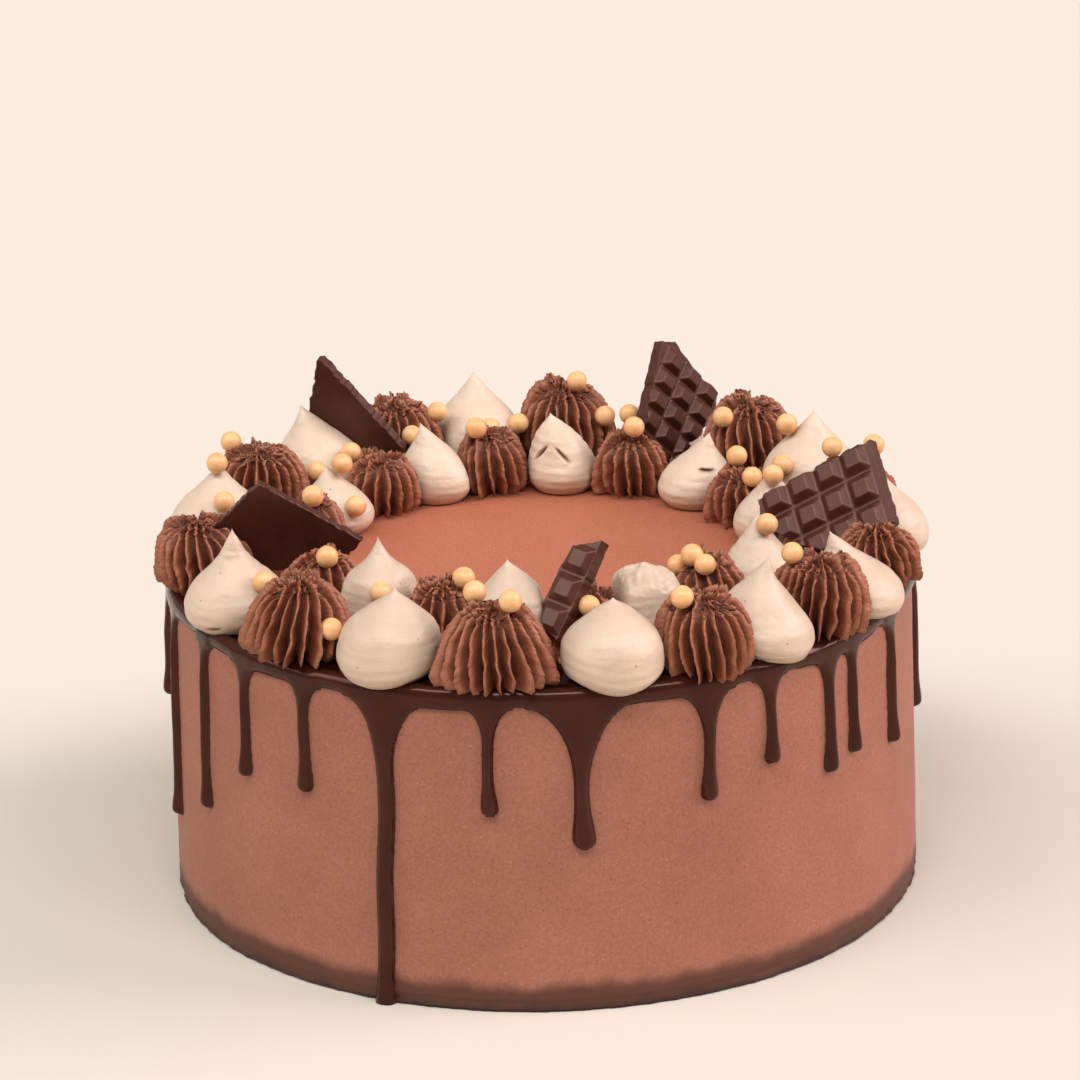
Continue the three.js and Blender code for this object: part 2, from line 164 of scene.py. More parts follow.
def cake_buttercream():
    """Scraped chocolate buttercream: matt, with fine air holes and sugar grains that show as
    speckle, and soft blotches where the fat set unevenly. Painted light and shade: a warmer top,
    dark dots in the holes, and a darker foot with a still darker line at the very bottom."""
    material, tree, shader, place = new_material("scraped_chocolate_buttercream")
    blotches = add_node(tree, "ShaderNodeTexNoise", {
        "Vector": place, "Scale": 1 / (30 * MM), "Detail": 3, "Roughness": 0.6})
    speckle = add_node(tree, "ShaderNodeTexNoise", {
        "Vector": place, "Scale": 1 / (0.8 * MM), "Detail": 3, "Roughness": 0.8})
    height = add_node(tree, "ShaderNodeSeparateXYZ", {"Vector": place}).outputs["Z"]
    tone = add_node(tree, "ShaderNodeValToRGB", {"Fac": blotches},
                    [(0.3, "#9c614d"), (0.72, "#aa6d57")])
    # painted light: the top is painted a warmer colour than the side, as light from above makes it
    # look
    painted_top_light = add_node(tree, "ShaderNodeMapRange", {
        "Value": height, "From Min": 85.5 * MM, "From Max": 86.4 * MM})
    top = add_node(tree, "ShaderNodeMix", {0: painted_top_light, 6: tone, 7: linear("#b2684d")},
                   data_type="RGBA")
    grain = add_node(tree, "ShaderNodeValToRGB", {"Fac": speckle},
                     [(0.4, "#e6e4e2"), (0.6, "#ffffff")])
    colour = add_node(tree, "ShaderNodeMix", {0: 1, 6: top.outputs[2], 7: grain},
                      data_type="RGBA", blend_type="MULTIPLY").outputs[2]

    # sugar grains and air holes: round dots in some of the cells, drawn by two of their colours;
    # the holes' dark dots are painted shade
    cells = add_node(tree, "ShaderNodeTexVoronoi", {"Vector": place, "Scale": 1 / (1.05 * MM)})
    lots = add_node(tree, "ShaderNodeSeparateColor", {"Color": cells.outputs["Color"]})
    dots = []
    for lot, share, size, weight in ((0, 0.5, 0.22, 0.3), (1, 0.72, 0.28, 0.42)):
        reach = add_node(tree, "ShaderNodeMapRange", {
            "Value": lots.outputs[lot], "From Min": share, "From Max": 1, "To Max": size})
        dot = add_node(tree, "ShaderNodeMath", {0: cells, 1: reach}, operation="LESS_THAN")
        dots.append(add_node(tree, "ShaderNodeMath", {0: dot, 1: weight}, operation="MULTIPLY"))
    grains, holes = dots

    ragged = add_node(tree, "ShaderNodeTexNoise", {
        "Vector": place, "Scale": 1 / (9 * MM), "Detail": 4})
    foot_height = add_node(tree, "ShaderNodeMath", {0: ragged, 1: -5 * MM, 2: height},
                           operation="MULTIPLY_ADD")
    # painted shade: the coat darkens over the last few millimetres of the foot, under a ragged edge
    painted_foot_shade = add_node(tree, "ShaderNodeMapRange", {
        "Value": foot_height, "From Min": 2.6 * MM, "From Max": 7.4 * MM, "To Min": 1,
        "To Max": 0}, interpolation_type="SMOOTHSTEP")
    # darker still in a line at the very bottom
    hem = add_node(tree, "ShaderNodeMapRange", {
        "Value": foot_height, "From Min": -1.6 * MM, "From Max": 0.2 * MM, "To Min": 1,
        "To Max": 0})
    # each over the last: the grains, the holes' painted shade, the foot's painted shade, and a still
    # darker line at the very bottom
    for share, shade in ((grains, "#d8a68e"), (holes, "#5e3022"), (painted_foot_shade, "#573021"),
                         (hem, "#3d2116")):
        colour = add_node(tree, "ShaderNodeMix", {0: share, 6: colour, 7: linear(shade)},
                          data_type="RGBA").outputs[2]

    fine = add_node(tree, "ShaderNodeBump", {
        "Height": speckle, "Strength": 0.25, "Distance": 0.5 * MM})
    pitted = add_node(tree, "ShaderNodeBump", {
        "Height": holes, "Normal": fine, "Strength": 0.5, "Distance": 0.4 * MM}, invert=True)
    connect(tree, shader, {
        "Base Color": colour, "Normal": pitted, "Roughness": 0.62, "IOR": 1.46,
        "Subsurface Weight": 0.12, "Subsurface Radius": (1.0, 0.4, 0.25),
        "Subsurface Scale": 2 * MM})
    return material


def cake_body():
    """Rings from the middle of the base, up the side, over the rim, to the middle of the top."""
    foot_heights, side_heights = np.linspace(0.5, 7.5, 15), np.linspace(9, 83.5, 50)
    profile = [(r, 0.0) for r in (30, 60, 90, 100.4)]
    profile += [(cake_radius(z), z) for z in (*foot_heights, *side_heights)]
    profile += [rim_point(angle) for angle in np.radians(np.linspace(8, 90, 8))]
    profile += [(r, CAKE_HEIGHT) for r in np.linspace(93, 4, 24)]
    r, z = (np.repeat(values, CAKE_COLUMNS) for values in np.array(profile).T)
    a = np.tile(np.arange(CAKE_COLUMNS) / CAKE_COLUMNS * 2 * math.pi, len(profile))
    points = np.stack((r * np.cos(a), r * np.sin(a), z), axis=1)
    above_base = z > 0.2
    side = above_base * (1 - smooth_step(80, 86.4, z))
    crumbs = rough(points, CRUMB_SIZE) * (1 - smooth_step(0.8, CRUMBS_END, z)) * above_base
    out = CRUMB_DEPTH * crumbs - COAT_EDGE * (crumbs != 0)
    for seed, (depth, length) in enumerate(SIDE_WAVES, 1):
        out += depth * rough(points, length, seed) * side
    out += SCRAPE_DEPTH * np.sin(z * 1.9 + 2 * rough(points, 60, 3)) * side
    points[:, :2] *= (1 + out / np.maximum(r, 1))[:, None]
    level = (z >= CAKE_HEIGHT - 1e-6) * (1 - smooth_step(70, 92, r))
    points[:, 2] += TOP_WAVE[0] * rough(points, TOP_WAVE[1], 4) * level
    points = np.vstack((points, (0, 0, 0), (0, 0, CAKE_HEIGHT)))
    return add_piece("buttercream_coat", points, turned_faces(CAKE_COLUMNS, len(profile)),
                     cake_buttercream())


coat = cake_body()
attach(coat, "root")
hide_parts("cake")


# ---- The ganache -----------------------------------------------------------------------------
# Dark chocolate and cream, poured warm round the edge of the top. It ran over the rim and down
# the side in drips, most with a round bead at the end, and set to a smooth glossy skin.
GANACHE_INNER_RADIUS = 79
GANACHE_ON_TOP = 1.4
GANACHE_ON_SIDE = 1.4
DRIP_DEPTH = 2.3
LIP = 2.0  # how much deeper it stands where it turns over the rim
EDGE_ROUND = 2.0  # how far in from its edge the ganache reaches its full depth
SKIN_UNDER = 0.3  # how deep the skin's inner sheet lies in the buttercream
SKIRT_HEIGHT = CAKE_HEIGHT - 3  # of its lower edge between the drips, as a mean
DRIP_RADIUS = 101  # the circle on which the drips' widths are measured
STEM_SHARE = 0.72  # of a drip's half width; its bead swells by another BEAD_SWELL
BEAD_SWELL = 0.38
BEAD_HALF = 1.12  # half the width of the round end, as a share of the drip's half width
FUNNEL_SHARE = 1.5  # how long the funnel under the rim is, as a share of its half width
DRIP_SWAY = 0.25
LONG_DRIP_RUN = 1.3  # how far the one that reaches the foot has run to the side
FOOT_SPREAD = 0.55
FOOT_RISE = 2.2  # over how much of its height it spreads there
FAR = 12  # no outline is followed further than this
# bearing from the front towards +X, height of the lower end, half width of the stem, half width
# where it leaves the rim
DRIPS = [
    (274, 54, 1.9, 5), (283.5, 25.7, 1.9, 5), (298, 37.4, 2.0, 5), (309.5, 52.7, 2.0, 6),
    (322, 54.2, 2.1, 6), (336, 0.6, 3.3, 13), (351.7, 54.1, 2.1, 7), (5.3, 44.7, 2.8, 15),
    (24.6, 53.9, 2.2, 9), (35.3, 59.8, 2.0, 6), (47.2, 51.6, 2.1, 7), (53, 53.7, 2.0, 5),
    (65.5, 48.8, 1.9, 6), (92, 41, 2.0, 5),
]
BACK_DRIPS = {"from": 106, "to": 262, "count": 11, "shortest": 60, "longest": 30}


def chance(index, purpose):
    """A repeatable number from 0 to 1, the same one that the solid model draws."""
    wave = math.sin(index * 12.9898 + purpose * 78.233) * 43758.5453
    return wave - math.floor(wave)


def back_drips():
    """Behind, where no drip shows, they follow the same habit."""
    step = (BACK_DRIPS["to"] - BACK_DRIPS["from"]) / (BACK_DRIPS["count"] - 1)
    reach = BACK_DRIPS["shortest"] - BACK_DRIPS["longest"]
    for i in range(BACK_DRIPS["count"]):
        bearing = BACK_DRIPS["from"] + step * (i + 0.5 * (chance(i, 1) - 0.5))
        end = BACK_DRIPS["longest"] + reach * chance(i, 2)
        yield bearing, end, 1.9 + 0.4 * chance(i, 3), 5 + 6 * chance(i, 4)


def skirt_edge(bearing):
    """Height of the ganache's lower edge between the drips."""
    a = np.radians(bearing)
    wave = 0.6 * np.sin(11 * a + 1.3) + 0.4 * np.sin(5 * a + 0.4)
    return SKIRT_HEIGHT + 1.2 * wave


def ganache_columns(drips):
    """Bearings of the mesh's columns: close together over a drip, wider apart between them."""
    fine, coarse, beside = 0.22, 0.48, 2.4  # degrees
    bearings, at = [], 0.0
    while at < 360 - fine:
        nearest = min(abs((at - drip[0] + 180) % 360 - 180) for drip in drips)
        bearings.append(at)
        at += fine if nearest < beside else coarse
    return np.array(bearings)


def ganache_field(bearing, z, drips):
    """How far each point of the side lies inside the ganache's outline, and its depth there."""
    inside = [np.clip(z - skirt_edge(bearing), -FAR, FAR)]
    depth = np.full_like(z, GANACHE_ON_SIDE)
    for index, (drip_bearing, end, stem, flare) in enumerate(drips):
        reaches_foot = end < 2
        # a drip wanders a little on its way down, and the long one spreads at the foot
        sway = DRIP_SWAY * np.sin(z * 0.17 + index) * smooth_step(0, 20, CAKE_HEIGHT - z)
        sway -= LONG_DRIP_RUN * reaches_foot * smooth_step(20, CAKE_HEIGHT, CAKE_HEIGHT - z)
        foot = reaches_foot * np.exp(-z / FOOT_RISE)
        bead = (not reaches_foot) * np.exp(-(((z - end - stem) / (2.2 * stem)) ** 2))
        away = np.radians((bearing - drip_bearing + 180) % 360 - 180) * DRIP_RADIUS - sway
        funnel = min(flare * FUNNEL_SHARE, (SKIRT_HEIGHT - end) * 0.8)
        share = np.clip((SKIRT_HEIGHT - z) / funnel, 0, 1)
        arch = 1 - np.sqrt(np.clip(1 - (1 - share) ** 2, 0, 1))
        half = stem * (STEM_SHARE + BEAD_SWELL * bead) + FOOT_SPREAD * foot
        half = half + (flare - STEM_SHARE * stem) * arch
        slope = np.clip(np.gradient(half, axis=0) / np.gradient(z, axis=0), -8, 8)
        along = (half - np.abs(away)) / np.sqrt(1 + slope**2)
        bead_half = stem * BEAD_HALF
        round_end = bead_half - np.hypot(away, z - end - bead_half)
        on_stem = (z > end + bead_half) | reaches_foot
        inside.append(np.clip(np.where(on_stem, along, round_end), -FAR, FAR))
        over = np.exp(-((away / (stem * 1.6)) ** 2)) * smooth_step(-1, 12, SKIRT_HEIGHT - z)
        depth += over * (DRIP_DEPTH - GANACHE_ON_SIDE + 0.5 * bead + 0.3 * foot)
    blend = 0.45  # how softly the drips and the skirt run into each other
    total = sum(np.exp(field / blend) for field in inside)
    return blend * np.log(total), depth


def snapped(bearing, z, inside, out):
    """Moves the side's points that lie close to the outline onto it, for a clean edge."""
    step_along = np.gradient(np.radians(bearing) * CAKE_BASE_RADIUS, axis=1)
    step_up = np.where(out >= 1, np.gradient(z, axis=0), 1)
    slope_along = np.gradient(inside, axis=1) / step_along
    slope_up = np.gradient(inside, axis=0) / step_up
    steep = np.maximum(slope_along**2 + slope_up**2, 0.2)
    move_along, move_up = -inside * slope_along / steep, -inside * slope_up / steep
    close = (out >= 1) & (z > 1) & (z < 83) & (abs(inside) < 1.2)
    close &= (abs(move_along) < 0.5 * abs(step_along)) & (abs(move_up) < 0.5 * abs(step_up))
    bearing = bearing + np.degrees(np.where(close, move_along, 0) / CAKE_BASE_RADIUS)
    return bearing, z + np.where(close, move_up, 0), np.where(close, 0, inside)


def dark_ganache():
    """Set dark chocolate ganache: nearly black-brown and glossy, a little redder in places,
    with faint ripples from where it was still running."""
    material, tree, shader, place = new_material("dark_chocolate_ganache")
    flow = add_node(tree, "ShaderNodeTexNoise", {
        "Vector": place, "Scale": 1 / (14 * MM), "Detail": 2, "Roughness": 0.45})
    tone = add_node(tree, "ShaderNodeValToRGB", {"Fac": flow},
                    [(0.35, "#2e0f09"), (0.7, "#3a160e")])
    ripple = add_node(tree, "ShaderNodeTexNoise", {
        "Vector": place, "Scale": 1 / (5 * MM), "Detail": 1.5})
    bump = add_node(tree, "ShaderNodeBump", {
        "Height": ripple, "Strength": 0.25, "Distance": 0.8 * MM})
    gloss = add_node(tree, "ShaderNodeMapRange", {"Value": flow, "To Min": 0.15, "To Max": 0.26})
    connect(tree, shader, {"Base Color": tone, "Normal": bump, "Roughness": gloss, "IOR": 1.44,
                           "Specular Tint": (1, 0.6, 0.5, 1)})
    return material


def ganache_skin():
    """A closed skin over the rim and the side: an outer sheet that follows the field, and an
    inner sheet just under the buttercream's surface."""
    drips = DRIPS + list(back_drips())
    bearings = ganache_columns(drips)
    # each row: radius and height on the cake, and how far its normal leans out
    rows = [(r, CAKE_HEIGHT, 0.0) for r in (GANACHE_INNER_RADIUS, 79.8, 81, 88, 94, 97.6)]
    level_rows = len(rows)
    rows += [(*rim_point(a), math.cos(a)) for a in np.radians(np.linspace(78, 12, 5))]
    rows += [(cake_radius(z), z, 1.0)
             for z in (*np.linspace(83.4, 70, 24), *np.linspace(69.4, 0.3, 104))]
    radius, height, out = (np.array(column)[:, None] for column in zip(*rows))
    bearing = np.tile(bearings, (len(rows), 1))
    z = np.broadcast_to(height, bearing.shape) + 0.0
    # on the level top each row counts as a little higher, so that every slope has a size
    raised = np.where(np.arange(len(rows)) < level_rows, np.linspace(3, 0.1, len(rows)), 0)
    inside, depth = ganache_field(bearing, z + raised[:, None], drips)
    inner_edge = np.where(out > 0.05, FAR * 10, radius - GANACHE_INNER_RADIUS + 0.4)
    depth = depth * out + (GANACHE_ON_TOP + 2 * LIP * out) * (1 - out)
    bearing, z, inside = snapped(bearing, z, np.minimum(inside, inner_edge), out)

    share = np.clip(inside / EDGE_ROUND, 0, 1)
    lift = depth * np.sqrt(1 - (1 - share) ** 2) + np.clip(inside, -0.35, 0)
    a = np.radians(bearing)
    sheets = []
    for offset in (lift, -SKIN_UNDER):
        r = radius + offset * out
        up = z + offset * np.sqrt(1 - out**2)
        sheets.append(np.stack((r * np.sin(a), -r * np.cos(a), up), axis=2).reshape(-1, 3))

    count_rows, count_columns = bearing.shape
    near = inside > -0.9
    cell = np.zeros((count_rows - 1, count_columns), bool)
    for row_step in (0, 1):
        for column_step in (0, 1):
            cell |= np.roll(near, -column_step, axis=1)[row_step : count_rows - 1 + row_step]

    def point(row, column, sheet):
        return (sheet * count_rows + row) * count_columns + column % count_columns

    faces = []
    for row, column in zip(*np.nonzero(cell)):
        corners = [(row, column), (row + 1, column), (row + 1, column + 1), (row, column + 1)]
        faces.append([point(*corner, 0) for corner in corners])
        faces.append([point(*corner, 1) for corner in reversed(corners)])
        beyond = [(row, column - 1), (row + 1, column), (row, column + 1), (row - 1, column)]
        for (r, c), first, second in zip(beyond, corners, corners[1:] + corners[:1]):
            if not (0 <= r < count_rows - 1 and cell[r, c % count_columns]):
                faces.append([point(*first, 1), point(*second, 1), point(*second, 0),
                              point(*first, 0)])
    used, faces = np.unique(np.array(faces), return_inverse=True)
    faces = faces.reshape(-1, 4).tolist()
    return add_piece("ganache", np.concatenate(sheets)[used], faces, dark_ganache())


ganache = ganache_skin()
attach(ganache, "root")
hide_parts("ganache_drip")


# ---- The chocolate bar pieces ----------------------------------------------------------------
# Pieces broken off two thin bars of dark chocolate and pushed into the ring: two smooth ones,
# and three from a bar moulded in small blocks. Their faces are satin and their breaks rough.
# A piece's outline is in its own plane. First is the middle of its first block.
BAR_PIECES = [
    {"name": "chocolate_shard_left", "at": (-70, -16, 10), "bearing": -8, "lean": -17,
     "thickness": 2.2,
     "outline": [(-20.8, 4.2), (-20.5, 2), (-13, -5), (14, -5.5), (23.4, 5.4), (-3.2, 23.4)]},
    {"name": "chocolate_shard_back_left", "at": (-52, 66, 12), "bearing": -22, "lean": -15,
     "thickness": 3,
     "outline": [(-7.1, 28.9), (-8.6, 22), (-11.6, 14), (-12, 11.5), (-9.4, 7.7), (-6, -4),
                 (12, -6), (15.2, 0.6), (15.5, 2), (-5.4, 29.2)]},
    {"name": "chocolate_bar_back_right", "at": (32, 66, 4), "bearing": 46, "lean": 16,
     "thickness": 3.4,
     "outline": [(-0.9, 11), (4.4, -1.2), (29, 7.9), (32, 13.1), (20.3, 32.1), (15.7, 33.8)],
     "blocks": {"First": (18, 27, 0), "Turn": -47.0, "Across": 8.0, "Down": -6.6, "Rise": 1.8,
                "Columns": 3.0, "Rows": 5.0}},
    {"name": "chocolate_bar_right", "at": (80, -14, 14), "bearing": -38, "lean": 26,
     "thickness": 3.4,
     "outline": [(-27.1, 1.9), (-24.7, -3), (-12, -7.5), (4, -7.5), (16.1, 3.9), (2.8, 24)],
     "blocks": {"First": (-0.5, 18, 0), "Turn": 35.0, "Across": -8.6, "Down": -8.8, "Rise": 1.8,
                "Columns": 4.0, "Rows": 4.0}},
    {"name": "chocolate_finger_front", "at": (4, -78, 8), "bearing": -35, "lean": 35,
     "thickness": 4,
     "outline": [(-7.7, 7.2), (-4, 1), (0, -1), (3.7, 26.8), (-3.9, 24), (-5.8, 18.2)],
     "blocks": {"First": (-1.2, 21, 0), "Turn": -8.0, "Across": 8.6, "Down": -8.4, "Rise": 1.2,
                "Columns": 1.0, "Rows": 3.0}},
]
BLOCK_SQUARENESS = 14  # the higher, the sharper a block's corners
FACE_POINTS = 190  # along each side of the sheet that the blocks are pressed in
BREAK_STEP = 0.9  # between the points of a break
SMOOTH_RAGGED = 0.55  # how far a break wanders, on a smooth piece and on a moulded one
MOULDED_RAGGED = 0.4


def toward(bearing):
    """The level direction of a bearing."""
    a = math.radians(bearing)
    return Vector((math.sin(a), -math.cos(a), 0))


def face_plane(bar):
    """From a bar piece's own plane, in millimetres, to the frame: x right, y up, z outwards."""
    lean = math.radians(bar["lean"])
    along = toward(bar["bearing"] + 90)
    outward = toward(bar["bearing"]) * math.cos(lean) + Vector((0, 0, math.sin(lean)))
    upward = outward.cross(along)
    matrix = Matrix((along, upward, outward)).transposed().to_4x4()
    x, y, z = bar["at"]
    return Matrix.Scale(MM, 4) @ Matrix.Translation((x, y, z + CAKE_HEIGHT)) @ matrix


def prism(name, outline, low, high):
    """A flat slab between two heights. It stays in millimetres: face_plane scales it."""
    count = len(outline)
    points = [(u, v, height) for height in (low, high) for u, v in outline]
    faces = [list(range(count))[::-1], list(range(count, 2 * count))]
    for i in range(count):
        j = (i + 1) % count
        faces.append([i, j, count + j, count + i])
    return add_piece(name, np.array(points) / MM, faces, chocolate, False)


def modify(piece, kind, **settings):
    """Adds a modifier with its settings."""
    modifier = piece.modifiers.new(kind.lower(), kind)
    for name, value in settings.items():
        setattr(modifier, name, value)
    return modifier


def settle(piece):
    """Turns the piece with its modifiers into a plain mesh."""
    graph = bpy.context.evaluated_depsgraph_get()
    mesh = bpy.data.meshes.new_from_object(piece.evaluated_get(graph))
    piece.modifiers.clear()
    piece.data = mesh


def new_tree(name, inputs):
    """A Geometry Nodes tree with its inputs by name, and the socket that its result goes to."""
    tree = bpy.data.node_groups.new(name, "GeometryNodeTree")
    tree.interface.new_socket("Geometry", in_out="OUTPUT", socket_type="NodeSocketGeometry")
    for socket, kind in inputs.items():
        tree.interface.new_socket(socket, in_out="INPUT", socket_type=f"NodeSocket{kind}")
    given = add_node(tree, "NodeGroupInput").outputs
    result = add_node(tree, "NodeGroupOutput").inputs[0]
    return tree, given, result


def finish_tree(tree, geometry, result, material):
    """Every tree ends the same way: real geometry with its material."""
    real = add_node(tree, "GeometryNodeRealizeInstances", {0: geometry})
    smooth = add_node(tree, "GeometryNodeSetShadeSmooth", {"Geometry": real})
    painted = add_node(tree, "GeometryNodeSetMaterial", {"Geometry": smooth, "Material": material})
    tree.links.new(painted.outputs[0], result)


def grow(piece, tree, **values):
    """Puts a tree on a piece, with its inputs set by their identifiers, and keeps the result."""
    modifier = modify(piece, "NODES", node_group=tree)
    for item in tree.interface.items_tree:
        if item.in_out == "INPUT" and item.name in values:
            modifier[item.identifier] = values[item.name]
    settle(piece)


def moulded_face_tree(material):
    """A sheet pressed up into rows and columns of low blocks with soft edges, and made a slab.
    Lengths are in millimetres, Turn is in radians, and Down is less than 0."""
    tree, given, result = new_tree("moulded_face", {
        "Size": "Float", "Centre": "Vector", "First": "Vector", "Turn": "Float",
        "Across": "Float", "Down": "Float", "Rise": "Float", "Columns": "Float",
        "Rows": "Float", "Thickness": "Float"})
    grid = add_node(tree, "GeometryNodeMeshGrid", {
        "Size X": given["Size"], "Size Y": given["Size"], "Vertices X": FACE_POINTS,
        "Vertices Y": FACE_POINTS})
    sheet = add_node(tree, "GeometryNodeSetPosition", {
        "Geometry": grid, "Offset": given["Centre"]})
    place = add_node(tree, "GeometryNodeInputPosition")
    from_first = add_node(tree, "ShaderNodeVectorMath", {0: place, 1: given["First"]},
                          operation="SUBTRACT")
    back = add_node(tree, "ShaderNodeMath", {0: given["Turn"], 1: -1}, operation="MULTIPLY")
    turned = add_node(tree, "ShaderNodeVectorRotate", {"Vector": from_first, "Angle": back},
                      rotation_type="Z_AXIS")
    split = add_node(tree, "ShaderNodeSeparateXYZ", {0: turned})

    # how far each point lies from the middle of its block, and whether the bar has that block
    powers, insides = [], []
    for axis, pitch, count in (("X", "Across", "Columns"), ("Y", "Down", "Rows")):
        step = add_node(tree, "ShaderNodeMath", {0: split.outputs[axis], 1: given[pitch]},
                        operation="DIVIDE")
        number = add_node(tree, "ShaderNodeMath", {0: step}, operation="ROUND")
        off = add_node(tree, "ShaderNodeMath", {0: step, 1: number}, operation="SUBTRACT")
        share = add_node(tree, "ShaderNodeMath", {0: off, 1: 2}, operation="MULTIPLY")
        size = add_node(tree, "ShaderNodeMath", {0: share}, operation="ABSOLUTE")
        powers.append(add_node(tree, "ShaderNodeMath", {0: size, 1: BLOCK_SQUARENESS},
                               operation="POWER"))
        after_first = add_node(tree, "ShaderNodeMath", {0: number, 1: -0.5},
                               operation="GREATER_THAN")
        end = add_node(tree, "ShaderNodeMath", {0: given[count], 1: 0.5}, operation="SUBTRACT")
        before_end = add_node(tree, "ShaderNodeMath", {0: number, 1: end},
                              operation="LESS_THAN")
        insides.append(add_node(tree, "ShaderNodeMath", {0: after_first, 1: before_end},
                                operation="MULTIPLY"))
    total = add_node(tree, "ShaderNodeMath", {0: powers[0], 1: powers[1]})
    to_edge = add_node(tree, "ShaderNodeMath", {0: total, 1: 1 / BLOCK_SQUARENESS},
                       operation="POWER")
    slope = add_node(tree, "ShaderNodeMapRange", {
        "Value": to_edge, "From Min": 0.5, "From Max": 0.92, "To Min": 1, "To Max": 0})
    in_field = add_node(tree, "ShaderNodeMath", {0: insides[0], 1: insides[1]},
                        operation="MULTIPLY")
    held = add_node(tree, "ShaderNodeMath", {0: slope, 1: in_field}, operation="MULTIPLY")
    height = add_node(tree, "ShaderNodeMath", {0: held, 1: given["Rise"]}, operation="MULTIPLY")
    lift = add_node(tree, "ShaderNodeCombineXYZ", {"Z": height})
    pressed = add_node(tree, "GeometryNodeSetPosition", {"Geometry": sheet, "Offset": lift})

    deep = add_node(tree, "ShaderNodeMath", {0: given["Thickness"], 1: -2}, operation="MULTIPLY")
    below = add_node(tree, "ShaderNodeCombineXYZ", {"Z": deep})
    slab = add_node(tree, "GeometryNodeExtrudeMesh", {
        "Mesh": pressed, "Offset": below, "Offset Scale": 1, "Individual": False})
    turned_over = add_node(tree, "GeometryNodeFlipFaces", {"Mesh": slab})
    whole = add_node(tree, "GeometryNodeJoinGeometry")
    tree.links.new(turned_over.outputs[0], whole.inputs[0])
    tree.links.new(pressed.outputs[0], whole.inputs[0])
    closed = add_node(tree, "GeometryNodeMergeByDistance", {"Geometry": whole, "Distance": 0.01})
    finish_tree(tree, closed, result, material)
    return tree


def dark_chocolate():
    """Moulded dark chocolate: cocoa butter gives the faces a satin shine, with faint bloom and
    rub marks; it is nearly black in shade."""
    material, tree, shader, place = new_material("moulded_dark_chocolate")
    bloom = add_node(tree, "ShaderNodeTexNoise", {
        "Vector": place, "Scale": 1 / (6 * MM), "Detail": 4, "Roughness": 0.6})
    tone = add_node(tree, "ShaderNodeValToRGB", {"Fac": bloom},
                    [(0.3, "#40211a"), (0.75, "#532d24")])
    marks = add_node(tree, "ShaderNodeTexNoise", {
        "Vector": place, "Scale": 1 / (1.1 * MM), "Detail": 3})
    bump = add_node(tree, "ShaderNodeBump", {
        "Height": marks, "Strength": 0.12, "Distance": 0.3 * MM})
    connect(tree, shader, {"Base Color": tone, "Normal": bump, "Roughness": 0.32, "IOR": 1.46,
                           "Specular Tint": (1, 0.68, 0.58, 1)})
    return material


def broken_outline(outline, ragged, seed):
    """The outline as a break leaves it: close points, each a little out of line."""
    corners = [np.array(corner) for corner in outline]
    points = []
    for start, end in zip(corners, corners[1:] + corners[:1]):
        run = end - start
        length = np.hypot(*run)
        count = max(1, round(length / BREAK_STEP))
        across = np.array((-run[1], run[0])) / length
        for i in range(count):
            at = start + run * i / count
            off = noise.noise(Vector((at[0] * 0.55, at[1] * 0.55, seed * 7.7)))
            off += 0.5 * noise.noise(Vector((at[0] * 1.7, at[1] * 1.7, seed * 3.1)))
            points.append(at + across * off * ragged)
    return points


def bar_piece(bar, seed):
    """A prism of the broken outline; a moulded one is cut out of a slab with blocks on it."""
    blocks = bar.get("blocks")
    thickness = bar["thickness"]
    ragged = MOULDED_RAGGED if blocks else SMOOTH_RAGGED
    outline = broken_outline(bar["outline"], ragged, seed)
    piece = prism(bar["name"] + "_piece", outline, -thickness, blocks["Rise"] if blocks else 0)
    if blocks:
        low, high = np.min(outline, axis=0), np.max(outline, axis=0)
        face = add_piece("face", [], [], chocolate)
        grow(face, moulded_face, **{
            **blocks, "Turn": math.radians(blocks["Turn"]), "Thickness": float(thickness),
            "Size": float(max(high - low)) + 6, "Centre": (*((low + high) / 2), 0)})
        modify(piece, "BOOLEAN", operation="INTERSECT", object=face, solver="MANIFOLD")
        settle(piece)
        bpy.data.objects.remove(face)
    else:
        modify(piece, "BEVEL", width=0.3, segments=2, limit_method="ANGLE",
               angle_limit=math.radians(50))
        settle(piece)
    piece.data.transform(face_plane(bar))
    return piece


chocolate = dark_chocolate()
moulded_face = moulded_face_tree(chocolate)
for number, bar in enumerate(BAR_PIECES):
    piece = bar_piece(bar, number)
    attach(piece, "root")
    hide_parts(bar["name"])


# ---- The piped kisses ------------------------------------------------------------------------
# Two rings of kisses, piped upright by hand: light coffee buttercream from a plain round nozzle
# and dark chocolate buttercream from a star nozzle, in turn. Neighbours press each other flat.
# offset: how far the ring's middle is off the cake's; wall: the radius where the rings meet; side:
# which way the other ring is; foot: the height of the kisses' feet; first draw: of its chances
OUTER_RING = {"name": "outer", "radius": 91, "offset": 2.5, "offset bearing": 20, "wall": 76.4,
              "side": -1, "kiss radius": 13.2, "foot": 88.3, "fins": 22, "first draw": 0}
INNER_RING = {"name": "inner", "radius": 65, "offset": 0, "offset bearing": 0, "wall": 75.0,
              "side": 1, "kiss radius": 10.4, "foot": 86.8, "fins": 16, "first draw": 100}
KISS_GAP = 0.25
TIP_LEAN = 2.2
USUAL_SIDES = (0.9, 0.66, 0.36, 0.17)
USUAL_SPLAY = 0.08
WIDEST_SPLAY = 0.22
PIPING_PITCH = 2.6  # between the faint lines that the nozzle left round a light kiss
LINE_DEPTH = 0.075
FOLD_DEPTH = 0.35
FIN_WANDER = 0.055  # in radians
SLIT_DEPTH = 1.5
SLIT_HALF_WIDTH = 0.42
SAG_FROM = 97  # the radius past which a light kiss hangs over the rim
SAG = 0.036
STAR_BODY_SHARE = 0.8  # of a star kiss's height; its ragged crown is the rest
STAR_PUSH = 1.5  # how far splayed toes push into the neighbours' room
